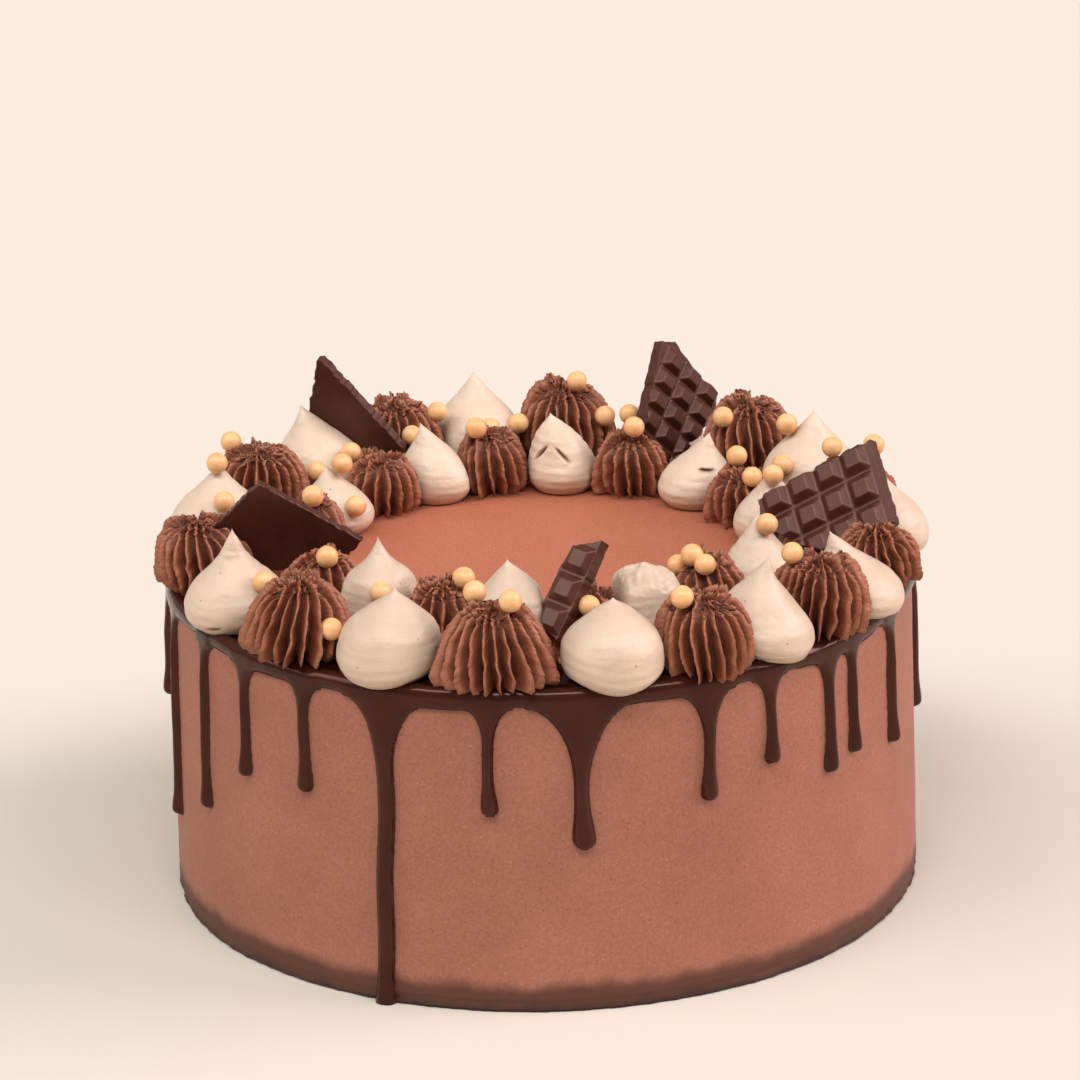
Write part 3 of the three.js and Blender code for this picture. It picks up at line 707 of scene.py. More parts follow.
# bearing and height, light and dark in turn, the light one first. Light ones: how far the tip
# leans towards +X, how far the body does, and the shares of its radius left at 45, 60, 75 and
# 88 % of its height; torn: how ragged its top is; slits: bearing round the kiss, share of its
# height, length, tilt. Dark ones: how far the toes splay. Pearls: bearing round the kiss, distance
# from its axis, height.
OUTER_KISSES = [
    {"at": (299, 26.3), "lean": -0.2, "sides": (0.84, 0.49, 0.24, 0.13),
     "slits": [(-27, 0.1, 4, 0)], "pearls": [(43, 11.8, 14)]},
    {"at": (317, 23.5), "splay": 0.22, "pearls": [(40, 14, 9.8)]},
    {"at": (335, 22.7), "lean": 2.2, "sides": (0.98, 0.86, 0.54, 0.25)},
    {"at": (352.5, 23.5), "splay": 0.22, "pearls": [(49, 5.7, 22.8), (229, 6.2, 22.6)]},
    {"at": (11, 21.6), "lean": 0.2, "sides": (1.02, 0.86, 0.55, 0.32)},
    {"at": (26, 21.5), "splay": 0, "pearls": [(312, 7.3, 20.1)]},
    {"at": (39, 24.7), "lean": -0.1, "shift": -3.2, "sides": (0.8, 0.58, 0.3, 0.14)},
    {"at": (50.5, 22.5), "splay": -0.05, "pearls": [(282, 7.1, 21.2)]},
    {"at": (62, 21.2), "lean": -6.5, "sides": (0.84, 0.56, 0.28, 0.15)},
    {"at": (76, 17), "girth": 0.88},
    {"at": (91, 22.5), "lean": 0},
    {"at": (107, 18.5), "girth": 0.92, "pearls": [(270, 6.5, 20.7), (75, 5, 21.4)]},
    {"at": (123, 24.5), "lean": 1.2, "pearls": [(282, 6.6, 20.7), (323, 13.9, 12)]},
    {"at": (138, 25), "pearls": [(308, 10.1, 19.1)]},
    {"at": (156, 24), "lean": 0, "behind": "chocolate_bar_back_right", "pearls": [(288, 10.6, 14.9)]},
    {"at": (174.7, 24), "pearls": [(37, 5.7, 23.4), (57, 13.3, 13.6)]},
    {"at": (191.5, 26.2), "lean": 0, "pearls": [(64, 13.8, 12.2), (19, 13.3, 13.1)]},
    {"at": (206, 23.5), "pearls": [(15, 13.1, 13.9), (77, 10.8, 17.3)]},
    {"at": (223, 24.4), "lean": -6, "pearls": [(40, 12.8, 13), (356, 14.4, 9.1)]},
    {"at": (240, 22.5), "pearls": [(258, 8.1, 20)]},
    {"at": (258.5, 23.5), "lean": 1, "pearls": [(17, 2.2, 24), (15, 10, 15.4)]},
    {"at": (279, 21)},
]
INNER_KISSES = [
    {"at": (320, 26), "lean": -0.3, "sides": (0.98, 0.84, 0.34, 0.14), "pearls": [(2, 9.6, 14)]},
    {"at": (336, 18.5), "pearls": [(106, 6.7, 16.8)]},
    {"at": (354, 24.3), "lean": -1.8, "sides": (1, 0.92, 0.58, 0.28)},
    {"at": (9, 17), "pearls": [(14, 8.2, 13.7)]},
    {"at": (24, 20.5), "lean": 0, "sides": (1, 0.98, 0.88, 0.62), "torn": 0.8},
    {"at": (43, 20), "pearls": [(299, 5.6, 19.1), (345, 6.4, 17.6), (262, 8.6, 15)]},
    {"at": (63, 23.2), "lean": -0.6, "sides": (0.86, 0.6, 0.34, 0.17), "pearls": [(39, 3.1, 20.7)]},
    {"at": (83, 18), "behind": "chocolate_bar_right"},
    {"at": (102.5, 21), "lean": 0, "pearls": [(3, 3.1, 19.8)]},
    {"at": (120, 16.5), "pearls": [(252, 1.6, 18.2), (19, 7.1, 14.4)]},
    {"at": (138, 20.5), "lean": 4.5, "slits": [(15, 0.55, 4.4, -8)]},
    {"at": (156.5, 18.5), "pearls": [(25, 2.7, 19.4)]},
    {"at": (174, 22), "lean": -3.1, "sides": (0.86, 0.7, 0.5, 0.24),
     "slits": [(-42, 0.53, 5.2, 47), (8, 0.52, 4.8, -50)]},
    {"at": (191.5, 19), "pearls": [(297, 4.7, 18.8)]},
    {"at": (206, 22), "lean": -4.3},
    {"at": (222, 17.5)},
    {"at": (239.5, 18.5), "lean": -2.5, "pearls": [(32, 10.8, 9.4), (63, 2.3, 19)]},
    {"at": (257, 17), "pearls": [(27, 4.4, 17.1)]},
    {"at": (277, 20), "lean": 0, "behind": "chocolate_shard_left"},
    {"at": (298, 18), "pearls": [(12, 6.6, 16.3)]},
]


def kiss_centre(ring, bearing):
    """How far a kiss's axis is from the cake's, and where it meets the cake."""
    away = ring["radius"] + ring["offset"] * math.cos(
        math.radians(bearing - ring["offset bearing"]))
    return away, toward(bearing) * away + Vector((0, 0, ring["foot"]))


def kiss_walls(ring, kisses, number):
    """The planes at which a kiss meets its two neighbours and the other ring."""
    bearing = kisses[number]["at"][0]
    before = kisses[number - 1]["at"][0]
    after = kisses[(number + 1) % len(kisses)]["at"][0]
    away, _ = kiss_centre(ring, bearing)
    step_back = ((bearing - before) % 360) / 2
    step_on = ((after - bearing) % 360) / 2
    return [
        (toward(bearing - step_back - 90), away * math.sin(math.radians(step_back))),
        (toward(bearing + step_on + 90), away * math.sin(math.radians(step_on))),
        (toward(bearing) * ring["side"], abs(ring["wall"] - away)),
    ]


def pressed_radius(radius, angle, walls, room):
    """The radius in each direction where soft walls hold it back."""
    softness, reach = 0.8, 8
    for normal, distance in walls:
        facing = normal.x * np.cos(angle) + normal.y * np.sin(angle)
        limit = np.where(facing > 0.01, (distance - room) / np.maximum(facing, 0.01), 1e3)
        near = np.minimum(limit - radius, reach)
        held = radius - softness * np.log1p(np.exp(-near / softness))
        radius = np.where(limit > radius + reach, radius, held)
    return radius


def soft_profile(up, heights, shares):
    """The shares at those heights, joined by straight runs and then rounded."""
    spread = np.linspace(-0.06, 0.06, 9)
    return np.mean([np.interp(up + step, heights, shares) for step in spread], axis=0)


def star_outline(along, kiss):
    """A star kiss's shares of radius and height along its outline: a dome with a blunt crown,
    or a bell where its toes splay."""
    steps = (0, 0.1, 0.24, 0.38, 0.52, 0.66, 0.78, 0.9, 1)
    bell = min(max(kiss.get("splay", USUAL_SPLAY) / WIDEST_SPLAY, 0), 1)
    dome_radius = np.array((0.84, 0.99, 1.03, 1.01, 0.94, 0.78, 0.57, 0.3, 0))
    bell_radius = np.array((0.88, 1.05, 1.0, 0.92, 0.83, 0.69, 0.52, 0.28, 0))
    radius = dome_radius * (1 - bell) + bell_radius * bell
    height = (0, 0.14, 0.36, 0.58, 0.77, 0.9, 0.97, 1, 1)
    return soft_profile(along, steps, radius), soft_profile(along, steps, height)


def kiss_outline(along, kiss):
    """A light kiss's shares of radius and height: a round body drawn up to a tip."""
    shares = (0.7, 0.9, 1.01, 1.04, *kiss.get("sides", USUAL_SIDES), 0)
    radius = soft_profile(along, (0, 0.06, 0.15, 0.28, 0.45, 0.6, 0.75, 0.88, 1), shares)
    return radius * (1 - along**24), along


def slits_at(kiss, height, angle, up, radius):
    """How far each point lies in one of a light kiss's slits, from 0 to 1."""
    pits = np.zeros_like(radius)
    for bearing, slit_up, length, tilt in kiss.get("slits", []):
        off = (angle - math.radians(bearing - 90) + math.pi) % (2 * math.pi) - math.pi
        off, rise, tilt = off * radius, (up - slit_up) * height, math.radians(tilt)
        across = math.cos(tilt) * off + math.sin(tilt) * rise
        over = math.cos(tilt) * rise - math.sin(tilt) * off
        pits += np.exp(-((2 * across / length) ** 4) - (over / SLIT_HALF_WIDTH) ** 2)
    return pits


def piped_kiss(name, ring, kisses, number, star):
    """A kiss as rings of points round a leaning axis, closed at the foot and the tip. On a star
    kiss the points keep their place, for its fins, and on a light one how far in a slit they are,
    for the slits' painted shade."""
    kiss = kisses[number]
    bearing, height = kiss["at"]
    away, centre = kiss_centre(ring, bearing)
    draw = number + ring["first draw"]
    sway = toward(360 * chance(draw, 7)) * TIP_LEAN * chance(draw, 6)
    lean = Vector((kiss["lean"], sway.y * 0.6, 0)) if "lean" in kiss else sway
    girth = ring["kiss radius"] * kiss.get("girth", 1)
    splay = kiss.get("splay", USUAL_SPLAY) if star else 0
    if star:
        height *= STAR_BODY_SHARE
        columns, rows = ring["fins"] * 10, 84
        along = np.linspace(0, 1, rows, endpoint=False)
        outline, twist = star_outline, 0.5 * (chance(number, 8) - 0.5)
    else:
        columns, rows = (216, 130) if "slits" in kiss or "torn" in kiss else (120, 72)
        along = 1 - (1 - np.linspace(0, 1, rows, endpoint=False)) ** 1.25  # closer near the tip
        outline, twist = kiss_outline, 0
    along = np.repeat(along, columns)
    around = np.tile(np.arange(columns) / columns, rows)
    share, up = outline(along, kiss)
    angle = 2 * math.pi * around + chance(draw, 5) * math.pi + twist * up
    if star:
        outwards = np.cos(angle - math.radians(bearing)) ** 2
        radius = girth * share * (1 + splay * outwards * (1 - up) ** 0.5)
        wander = rough(np.stack((np.cos(angle), np.sin(angle), 1.6 * up), axis=1), 0.3, draw)
        angle = angle + FIN_WANDER * wander
    else:
        folds = rough(np.stack((np.cos(angle), np.sin(angle), 2.5 * up), axis=1), 0.8, draw)
        lines = np.sin(2 * math.pi * (up * height / PIPING_PITCH + around))
        lines *= np.clip(0.5 + 1.6 * folds, 0, 1) * (share > 0.2)
        radius = girth * share + LINE_DEPTH * lines + FOLD_DEPTH * folds * share
        pits = slits_at(kiss, height, angle, up, radius)
        radius = radius - SLIT_DEPTH * pits
    room = up**2 * TIP_LEAN + KISS_GAP / 2 - (STAR_PUSH if splay else 0)
    radius = pressed_radius(radius, angle, kiss_walls(ring, kisses, number), room)

    outward = np.stack((np.cos(angle), np.sin(angle), 0 * angle), axis=1)
    points = np.array(centre) + outward * radius[:, None]
    points += np.outer(up**2, lean) + np.outer(up * height, (0, 0, 1))
    points[:, 0] += 4 * up * (1 - up) * kiss.get("shift", 0)
    if not splay:
        over_rim = np.maximum(np.hypot(points[:, 0], points[:, 1]) - SAG_FROM, 0)
        points[:, 2] -= SAG * over_rim**2 * (1 - up) ** 2
    if "torn" in kiss:
        tears = rough(points, 3.4, draw) + 0.6 * rough(points, 1.5, draw + 1)
        points[:, 2] += kiss["torn"] * smooth_step(0.5, 0.9, up) * tears
    points = np.vstack((points, centre, centre + lean + Vector((0, 0, height))))
    piece = add_piece(name, points, turned_faces(columns, rows), dark_cream if star else light_cream)

    if star:
        kept = {"around": np.append(around, (0, 0)), "up": np.append(along, (0, 1)),
                "reach": np.append(radius, (0, 0)) * MM,
                "outward": np.vstack((outward, np.zeros((2, 3))))}
    else:
        # how far in a slit each point is, for the material's painted shade there
        kept = {"slit_shade": np.append(pits, (0, 0))}
    for attribute, values in kept.items():
        kind, field = ("FLOAT", "value") if values.ndim == 1 else ("FLOAT_VECTOR", "vector")
        stored = piece.data.attributes.new(attribute, kind, "POINT")
        stored.data.foreach_set(field, values.ravel())
    return piece


def star_fins_tree(material):
    """The star nozzle's fins: the plain body's sides are drawn in between Fins sharp crests,
    deeper at the foot; the crests are torn a little, and the crown is a ragged tuft."""
    tree, given, result = new_tree("star_fins", {
        "Geometry": "Geometry", "Fins": "Float", "Depth": "Float", "Tear": "Float",
        "Crown": "Float", "Toes": "Float", "Seed": "Float"})
    around, up, reach, outward = (
        add_node(tree, "GeometryNodeInputNamedAttribute", {"Name": name}, data_type=kind)
        for name, kind in (("around", "FLOAT"), ("up", "FLOAT"), ("reach", "FLOAT"),
                           ("outward", "FLOAT_VECTOR")))

    # each point's place between the middle of its fin, its crest, and the groove beside it
    phase = add_node(tree, "ShaderNodeMath", {0: around, 1: given["Fins"]}, operation="MULTIPLY")
    fin = add_node(tree, "ShaderNodeMath", {0: phase}, operation="ROUND")
    off = add_node(tree, "ShaderNodeMath", {0: phase, 1: fin}, operation="SUBTRACT")
    size = add_node(tree, "ShaderNodeMath", {0: off}, operation="ABSOLUTE")
    from_crest = add_node(tree, "ShaderNodeMath", {0: size, 1: 2}, operation="MULTIPLY")
    crest = add_node(tree, "ShaderNodeMath", {0: 1, 1: from_crest}, operation="SUBTRACT")
    at_crest = add_node(tree, "ShaderNodeMath", {0: crest, 1: 2}, operation="POWER")
    quarter = add_node(tree, "ShaderNodeMath", {0: from_crest, 1: math.pi / 2},
                       operation="MULTIPLY")
    groove = add_node(tree, "ShaderNodeMath", {0: quarter}, operation="SINE")
    down = add_node(tree, "ShaderNodeMath", {0: 1, 1: up}, operation="SUBTRACT")
    near_foot = add_node(tree, "ShaderNodeMath", {0: down, 1: 4}, operation="POWER")
    deeper = add_node(tree, "ShaderNodeMath", {0: near_foot, 1: 0.9, 2: 1},
                      operation="MULTIPLY_ADD")
    plain_groove = add_node(tree, "ShaderNodeMath", {0: groove, 1: given["Depth"]},
                            operation="MULTIPLY")
    drawn_in = add_node(tree, "ShaderNodeMath", {0: plain_groove, 1: deeper},
                        operation="MULTIPLY")

    # torn crests, and a crown whose tufts go every way
    place = add_node(tree, "GeometryNodeInputPosition")
    tears = add_node(tree, "ShaderNodeTexNoise", {
        "Vector": place, "W": given["Seed"], "Scale": 1 / (1.4 * MM), "Detail": 3,
        "Roughness": 0.75}, noise_dimensions="4D")
    tear = add_node(tree, "ShaderNodeMath", {0: tears, 1: 0.5}, operation="SUBTRACT")
    crest_tear = add_node(tree, "ShaderNodeMath", {0: tear, 1: at_crest}, operation="MULTIPLY")
    torn = add_node(tree, "ShaderNodeMath", {0: crest_tear, 1: given["Tear"]},
                    operation="MULTIPLY")
    tufts = add_node(tree, "ShaderNodeTexNoise", {
        "Vector": place, "W": given["Seed"], "Scale": 1 / (2.2 * MM), "Detail": 4,
        "Roughness": 0.8}, noise_dimensions="4D")
    ragged = add_node(tree, "ShaderNodeVectorMath", {
        0: tufts.outputs["Color"], 1: (0.5, 0.5, 0.5)}, operation="SUBTRACT")
    top = add_node(tree, "ShaderNodeMapRange", {
        "Value": up, "From Min": 0.55, "From Max": 0.8}, interpolation_type="SMOOTHSTEP")
    crown_size = add_node(tree, "ShaderNodeMath", {0: top, 1: given["Crown"]},
                          operation="MULTIPLY")
    crown = add_node(tree, "ShaderNodeVectorMath", {0: ragged, "Scale": crown_size},
                     operation="SCALE")

    # each fin by its own chance rises at the crown and reaches out at the toes
    own_number = add_node(tree, "ShaderNodeMath", {0: fin, 1: given["Fins"]}, operation="MODULO")
    fin_seed = add_node(tree, "ShaderNodeMath", {0: own_number, 1: given["Seed"]})
    fin_chance = add_node(tree, "ShaderNodeTexWhiteNoise", {"W": fin_seed},
                          noise_dimensions="1D").outputs["Value"]
    rise_chance = add_node(tree, "ShaderNodeMath", {0: fin_chance, 1: 0.3}, operation="SUBTRACT")
    tuft_size = add_node(tree, "ShaderNodeMath", {0: crown_size, 1: at_crest},
                         operation="MULTIPLY")
    fin_rise = add_node(tree, "ShaderNodeMath", {0: tuft_size, 1: rise_chance},
                        operation="MULTIPLY")
    rise = add_node(tree, "ShaderNodeCombineXYZ", {"Z": fin_rise})
    toe_chance = add_node(tree, "ShaderNodeMath", {0: fin_chance, 1: 0.45}, operation="SUBTRACT")
    toe_reach = add_node(tree, "ShaderNodeMath", {0: toe_chance, 1: given["Toes"]},
                         operation="MULTIPLY")
    toe_place = add_node(tree, "ShaderNodeMath", {0: near_foot, 1: crest}, operation="MULTIPLY")
    toe = add_node(tree, "ShaderNodeMath", {0: toe_place, 1: toe_reach}, operation="MULTIPLY")

    outer = add_node(tree, "ShaderNodeMath", {0: torn, 1: toe})
    inner = add_node(tree, "ShaderNodeMath", {0: drawn_in, 1: reach}, operation="MULTIPLY")
    kept = add_node(tree, "ShaderNodeMath", {0: outer, 1: inner}, operation="SUBTRACT")
    innermost = add_node(tree, "ShaderNodeMath", {0: reach, 1: -0.7}, operation="MULTIPLY")
    sideways = add_node(tree, "ShaderNodeMath", {0: kept, 1: innermost}, operation="MAXIMUM")
    moved_out = add_node(tree, "ShaderNodeVectorMath", {0: outward, "Scale": sideways},
                         operation="SCALE")
    with_crown = add_node(tree, "ShaderNodeVectorMath", {0: moved_out, 1: crown})
    offset = add_node(tree, "ShaderNodeVectorMath", {0: with_crown, 1: rise})
    shaped = add_node(tree, "GeometryNodeSetPosition", {
        "Geometry": given["Geometry"], "Offset": offset})
    # kept for the material's painted highlight on the crests and painted shade in the grooves
    stored = add_node(tree, "GeometryNodeStoreNamedAttribute", {
        "Geometry": shaped, "Name": "crest", "Value": crest})
    finish_tree(tree, stored, result, material)
    return tree


def star_buttercream():
    """Dark chocolate buttercream, piped cold from a star nozzle: matt, with rough torn crests
    and deep grooves. Painted highlight lightens the crests and painted shade darkens the grooves."""
    material, tree, shader, place = new_material("piped_chocolate_buttercream")
    crest = add_node(tree, "ShaderNodeAttribute", attribute_name="crest").outputs["Fac"]
    # painted shade in the grooves and painted highlight on the crests
    tone = add_node(tree, "ShaderNodeValToRGB", {"Fac": crest},
                    [(0, "#5a2b18"), (0.72, "#884a2e"), (1, "#b87456")])
    grain = add_node(tree, "ShaderNodeTexNoise", {
        "Vector": place, "Scale": 1 / (0.8 * MM), "Detail": 3, "Roughness": 0.7})
    shade = add_node(tree, "ShaderNodeValToRGB", {"Fac": grain},
                     [(0.3, "#d8d8d8"), (0.7, "#ffffff")])
    colour = add_node(tree, "ShaderNodeMix", {0: 1, 6: tone, 7: shade}, data_type="RGBA",
                      blend_type="MULTIPLY").outputs[2]
    bump = add_node(tree, "ShaderNodeBump", {
        "Height": grain, "Strength": 0.5, "Distance": 0.5 * MM})
    connect(tree, shader, {
        "Base Color": colour, "Normal": bump, "Roughness": 0.55, "IOR": 1.46,
        "Subsurface Weight": 0.1, "Subsurface Radius": (1.0, 0.4, 0.25),
        "Subsurface Scale": 1.5 * MM})
    return material


def light_buttercream():
    """Light coffee buttercream from a round nozzle: smooth and soft, with faint folds round it
    and a few burst air bubbles. Painted shade makes the kisses a little darker in front, and
    darkens the bubbles and the slits."""
    material, tree, shader, place = new_material("piped_light_buttercream")
    cloud = add_node(tree, "ShaderNodeTexNoise", {
        "Vector": place, "Scale": 1 / (7 * MM), "Detail": 3})
    tone = add_node(tree, "ShaderNodeValToRGB", {"Fac": cloud},
                    [(0.3, "#d2b8a1"), (0.7, "#dac4ae")])
    # painted shade: a little darker towards the front, none at the back
    back = add_node(tree, "ShaderNodeSeparateXYZ", {"Vector": place}).outputs["Y"]
    behind = add_node(tree, "ShaderNodeMapRange", {
        "Value": back, "From Min": -70 * MM, "From Max": 70 * MM})
    deeper = add_node(tree, "ShaderNodeMix", {
        0: behind, 6: linear("#f1efee"), 7: linear("#ffffff")}, data_type="RGBA")
    colour = add_node(tree, "ShaderNodeMix", {0: 1, 6: tone, 7: deeper.outputs[2]},
                      data_type="RGBA", blend_type="MULTIPLY").outputs[2]

    cells = add_node(tree, "ShaderNodeTexVoronoi", {"Vector": place, "Scale": 1 / (2.6 * MM)})
    few = add_node(tree, "ShaderNodeSeparateColor", {"Color": cells.outputs["Color"]})
    size = add_node(tree, "ShaderNodeMapRange", {
        "Value": few, "From Min": 0.8, "From Max": 1, "To Max": 0.14})
    bubble = add_node(tree, "ShaderNodeMath", {0: cells, 1: size}, operation="LESS_THAN")
    # painted shade: dark dots in the burst bubbles, and darker colour in the slits
    slit_shade = add_node(tree, "ShaderNodeAttribute", attribute_name="slit_shade").outputs["Fac"]
    for share, shade in ((bubble, "#ae8b70"), (slit_shade, "#7c5840")):
        colour = add_node(tree, "ShaderNodeMix", {0: share, 6: colour, 7: linear(shade)},
                          data_type="RGBA").outputs[2]

    stretch = add_node(tree, "ShaderNodeMapping", {"Vector": place, "Scale": (1, 1, 3.2)})
    folds = add_node(tree, "ShaderNodeTexNoise", {
        "Vector": stretch, "Scale": 1 / (11 * MM), "Detail": 2})
    soft = add_node(tree, "ShaderNodeBump", {
        "Height": folds, "Strength": 0.5, "Distance": 1.0 * MM})
    dent = add_node(tree, "ShaderNodeBump", {
        "Height": bubble, "Normal": soft, "Strength": 0.4, "Distance": 0.3 * MM}, invert=True)
    grain = add_node(tree, "ShaderNodeTexNoise", {
        "Vector": place, "Scale": 1 / (1.6 * MM), "Detail": 4, "Roughness": 0.65})
    fine = add_node(tree, "ShaderNodeBump", {
        "Height": grain, "Normal": dent, "Strength": 0.36, "Distance": 0.45 * MM})
    connect(tree, shader, {
        "Base Color": colour, "Normal": fine, "Roughness": 0.4, "IOR": 1.46,
        "Subsurface Weight": 0.25, "Subsurface Radius": (1.0, 0.6, 0.4),
        "Subsurface Scale": 2.5 * MM})
    return material


def keep_largest(piece):
    """Drops what a cut has separated from the piece."""
    work = bmesh.new()
    work.from_mesh(piece.data)
    left, groups = set(work.verts), []
    while left:
        group, open_ends = set(), [left.pop()]
        while open_ends:
            vertex = open_ends.pop()
            group.add(vertex)
            for edge in vertex.link_edges:
                other = edge.other_vert(vertex)
                if other in left:
                    left.remove(other)
                    open_ends.append(other)
        groups.append(group)
    for group in sorted(groups, key=len)[:-1]:
        bmesh.ops.delete(work, geom=list(group), context="VERTS")
    work.to_mesh(piece.data)
    work.free()


def press_flat(piece, bar):
    """Moves what would stand in front of a bar piece's back level onto that back."""
    face = face_plane(bar)
    normal = face.to_3x3().col[2].normalized()
    back = face @ Vector((0, 0, -bar["thickness"] - KISS_GAP))
    level = toward(bar["bearing"]) / math.cos(math.radians(bar["lean"]))
    for vertex in piece.data.vertices:
        vertex.co -= level * max(0, (vertex.co - back).dot(normal))


def make_room(piece, node):
    """Cuts the bar pieces' space out of a kiss that one of them is pushed into."""
    low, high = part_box(node)
    for bar, space in zip(BAR_PIECES, bar_spaces):
        bar_low, bar_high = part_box(bar["name"])
        if all(low[i] < bar_high[i] + MM and bar_low[i] < high[i] + MM for i in range(3)):
            modify(piece, "BOOLEAN", operation="DIFFERENCE", object=space, solver="EXACT")
            settle(piece)
            keep_largest(piece)


bar_spaces = []
for bar in BAR_PIECES:
    rise = bar["blocks"]["Rise"] if "blocks" in bar else 0
    space = prism("space", bar["outline"], -bar["thickness"] - 0.2, rise + 0.2)
    space.data.transform(face_plane(bar))
    bar_spaces.append(space)

light_cream = light_buttercream()
dark_cream = star_buttercream()
star_fins = star_fins_tree(dark_cream)
for ring, kisses in ((OUTER_RING, OUTER_KISSES), (INNER_RING, INNER_KISSES)):
    for number, kiss in enumerate(kisses):
        star = number % 2 == 1
        node = f"{ring['name']}_{'star' if star else 'kiss'}_{number + 1:02d}"
        piece = piped_kiss(node + "_piped", ring, kisses, number, star)
        if star:
            grow(piece, star_fins, Fins=float(ring["fins"]), Depth=0.31, Tear=1.9 * MM,
                 Crown=5 * MM, Toes=4.2 * MM, Seed=float(number))
        else:
            make_room(piece, node)
        for bar in BAR_PIECES:
            if kiss.get("behind") == bar["name"]:
                press_flat(piece, bar)
        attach(piece, "root")
        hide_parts(node)
for space in bar_spaces:
    bpy.data.objects.remove(space)


# ---- The caramel pearls ----------------------------------------------------------------------
# Crisp cereal balls panned with caramel chocolate. They were dropped on the kisses by hand and
# pressed in a little while the cream was soft.
PEARL_RADIUS = 2.95


def pearls_tree(material):
    """A ball on each point, its size between Uneven less than Radius and a fiftieth more."""
    tree, given, result = new_tree("pearls", {"Geometry": "Geometry", "Radius": "Float",
                                              "Uneven": "Float", "Seed": "Int"})
    ball = add_node(tree, "GeometryNodeMeshIcoSphere", {
        "Radius": given["Radius"], "Subdivisions": 4})
    least = add_node(tree, "ShaderNodeMath", {0: 1, 1: given["Uneven"]}, operation="SUBTRACT")
    size = add_node(tree, "FunctionNodeRandomValue", {2: least, 3: 1.02, "Seed": given["Seed"]})
    placed = add_node(tree, "GeometryNodeInstanceOnPoints", {
        "Points": given["Geometry"], "Instance": ball, "Scale": size.outputs[1]})
    finish_tree(tree, placed, result, material)
    return tree


def caramel_pearl():
    """Caramel chocolate, panned and polished: a satin shell with soft darker clouds."""
    material, tree, shader, place = new_material("panned_caramel_chocolate")
    cloud = add_node(tree, "ShaderNodeTexNoise", {
        "Vector": place, "Scale": 1 / (3 * MM), "Detail": 2})
    tone = add_node(tree, "ShaderNodeValToRGB", {"Fac": cloud},
                    [(0.3, "#e0a66c"), (0.7, "#eebb86")])
    bump = add_node(tree, "ShaderNodeBump", {
        "Height": cloud, "Strength": 0.2, "Distance": 0.3 * MM})
    connect(tree, shader, {
        "Base Color": tone, "Normal": bump, "Roughness": 0.38, "IOR": 1.5,
        "Subsurface Weight": 0.15, "Subsurface Radius": (1.0, 0.5, 0.2),
        "Subsurface Scale": 1 * MM})
    return material


pearl_places = []
for ring, kisses in ((OUTER_RING, OUTER_KISSES), (INNER_RING, INNER_KISSES)):
    for kiss in kisses:
        _, centre = kiss_centre(ring, kiss["at"][0])
        for bearing, out, height in kiss.get("pearls", []):
            pearl_places.append(centre + toward(bearing) * out + Vector((0, 0, height)))
pearl_finish = caramel_pearl()
pearls = add_piece("caramel_pearls", pearl_places, [], pearl_finish)
grow(pearls, pearls_tree(pearl_finish), Radius=PEARL_RADIUS * MM, Uneven=0.05, Seed=3)
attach(pearls, "root")


# ---- Camera, floor and light -----------------------------------------------------------------
# The photograph was taken with a long lens from a little above, 1.4 m away and turned by a degree
# and a half. The floor is plain and pale, and a row of large soft lights from left to right in
# front of the cake and a pale surround light it.
CAMERA_DISTANCE = 1400 * MM
CAMERA_AIM_HEIGHT = 45 * MM
CAMERA_ELEVATION = math.radians(21.2)
CAMERA_LOOKS_DOWN = math.radians(19.33)
CAMERA_ROLL = math.radians(-1.4)
SENSOR_WIDTH_MM = 36
LENS_MM = 170.7
FLOOR_SIZE = 8000
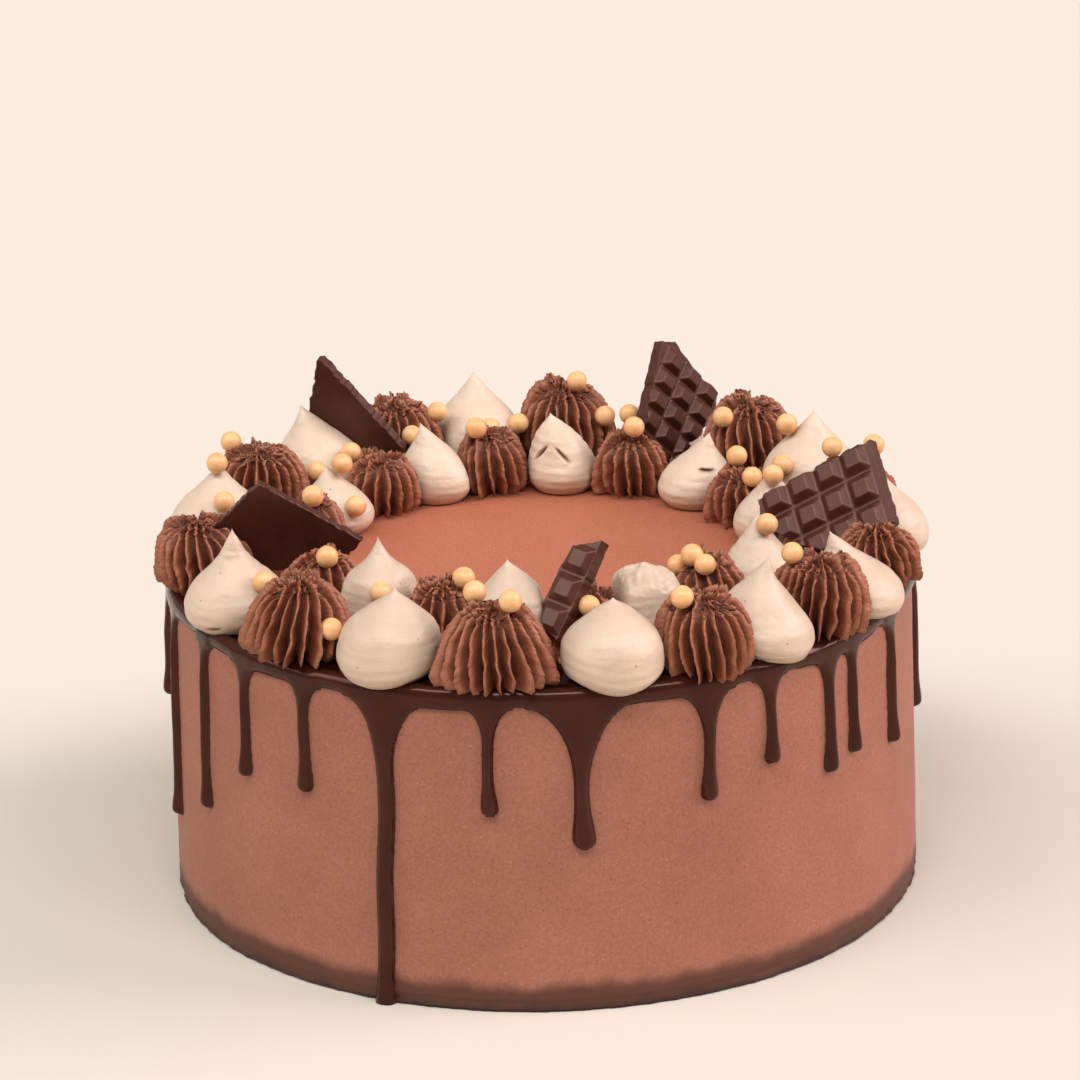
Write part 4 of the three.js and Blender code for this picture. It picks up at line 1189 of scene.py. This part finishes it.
# bearing and height over the floor in degrees, how wide it looks, strength, colour. They are far
# away, so that the floor is evenly lit.
LIGHTS = {
    "left": (-80, 36, 34, 0.9, "#ffffff"),
    "front_left": (-52, 55, 18, 0.6, "#ffffff"),
    "front": (-20, 57, 18, 0.8, "#ffffff"),
    "front_right": (12, 57, 18, 0.65, "#ffffff"),
    "right": (46, 52, 18, 0.6, "#ffffff"),
    "far_right": (90, 30, 34, 2.15, "#fff0f4"),
}

forward = Vector((0, math.cos(CAMERA_LOOKS_DOWN), -math.sin(CAMERA_LOOKS_DOWN)))
level_right = Vector((1, 0, 0))
level_up = level_right.cross(forward)
right = level_right * math.cos(CAMERA_ROLL) + level_up * math.sin(CAMERA_ROLL)
up = level_up * math.cos(CAMERA_ROLL) - level_right * math.sin(CAMERA_ROLL)
camera = bpy.data.objects.new("Camera", bpy.data.cameras.new("Camera"))
bpy.context.scene.collection.objects.link(camera)
camera.data.sensor_width = SENSOR_WIDTH_MM
camera.data.lens = LENS_MM
camera.data.clip_end = 20
camera.matrix_world = Matrix((right, up, -forward)).transposed().to_4x4()
camera.location = (
    0,
    -math.cos(CAMERA_ELEVATION) * CAMERA_DISTANCE,
    math.sin(CAMERA_ELEVATION) * CAMERA_DISTANCE + CAMERA_AIM_HEIGHT,
)
bpy.context.scene.camera = camera

pale_floor, _, floor_shader, _ = new_material("pale_floor")  # a matt studio floor
floor_shader.inputs["Base Color"].default_value = linear("#cfc5b8")
floor_shader.inputs["Roughness"].default_value = 0.9
corners = [(-1, -1, 0), (1, -1, 0), (1, 1, 0), (-1, 1, 0)]
floor = add_piece("floor", np.array(corners) * FLOOR_SIZE / 2, [(0, 1, 2, 3)], pale_floor)

for name, (bearing, elevation, width, strength, colour) in LIGHTS.items():
    lamp = bpy.data.lights.new(name, "SUN")
    lamp.angle = math.radians(width)
    lamp.energy = strength
    lamp.color = linear(colour)[:3]
    light = bpy.data.objects.new(name, lamp)
    bpy.context.scene.collection.objects.link(light)
    rise = math.radians(elevation)
    towards_it = toward(bearing) * math.cos(rise) + Vector((0, 0, math.sin(rise)))
    light.rotation_euler = towards_it.to_track_quat("Z", "Y").to_euler()

world = bpy.data.worlds.new("surround")
world.use_nodes = True
world.node_tree.nodes["Background"].inputs["Color"].default_value = linear("#fffaf5")
world.node_tree.nodes["Background"].inputs["Strength"].default_value = 0.36
bpy.context.scene.world = world
bpy.context.scene.view_settings.view_transform = "Standard"
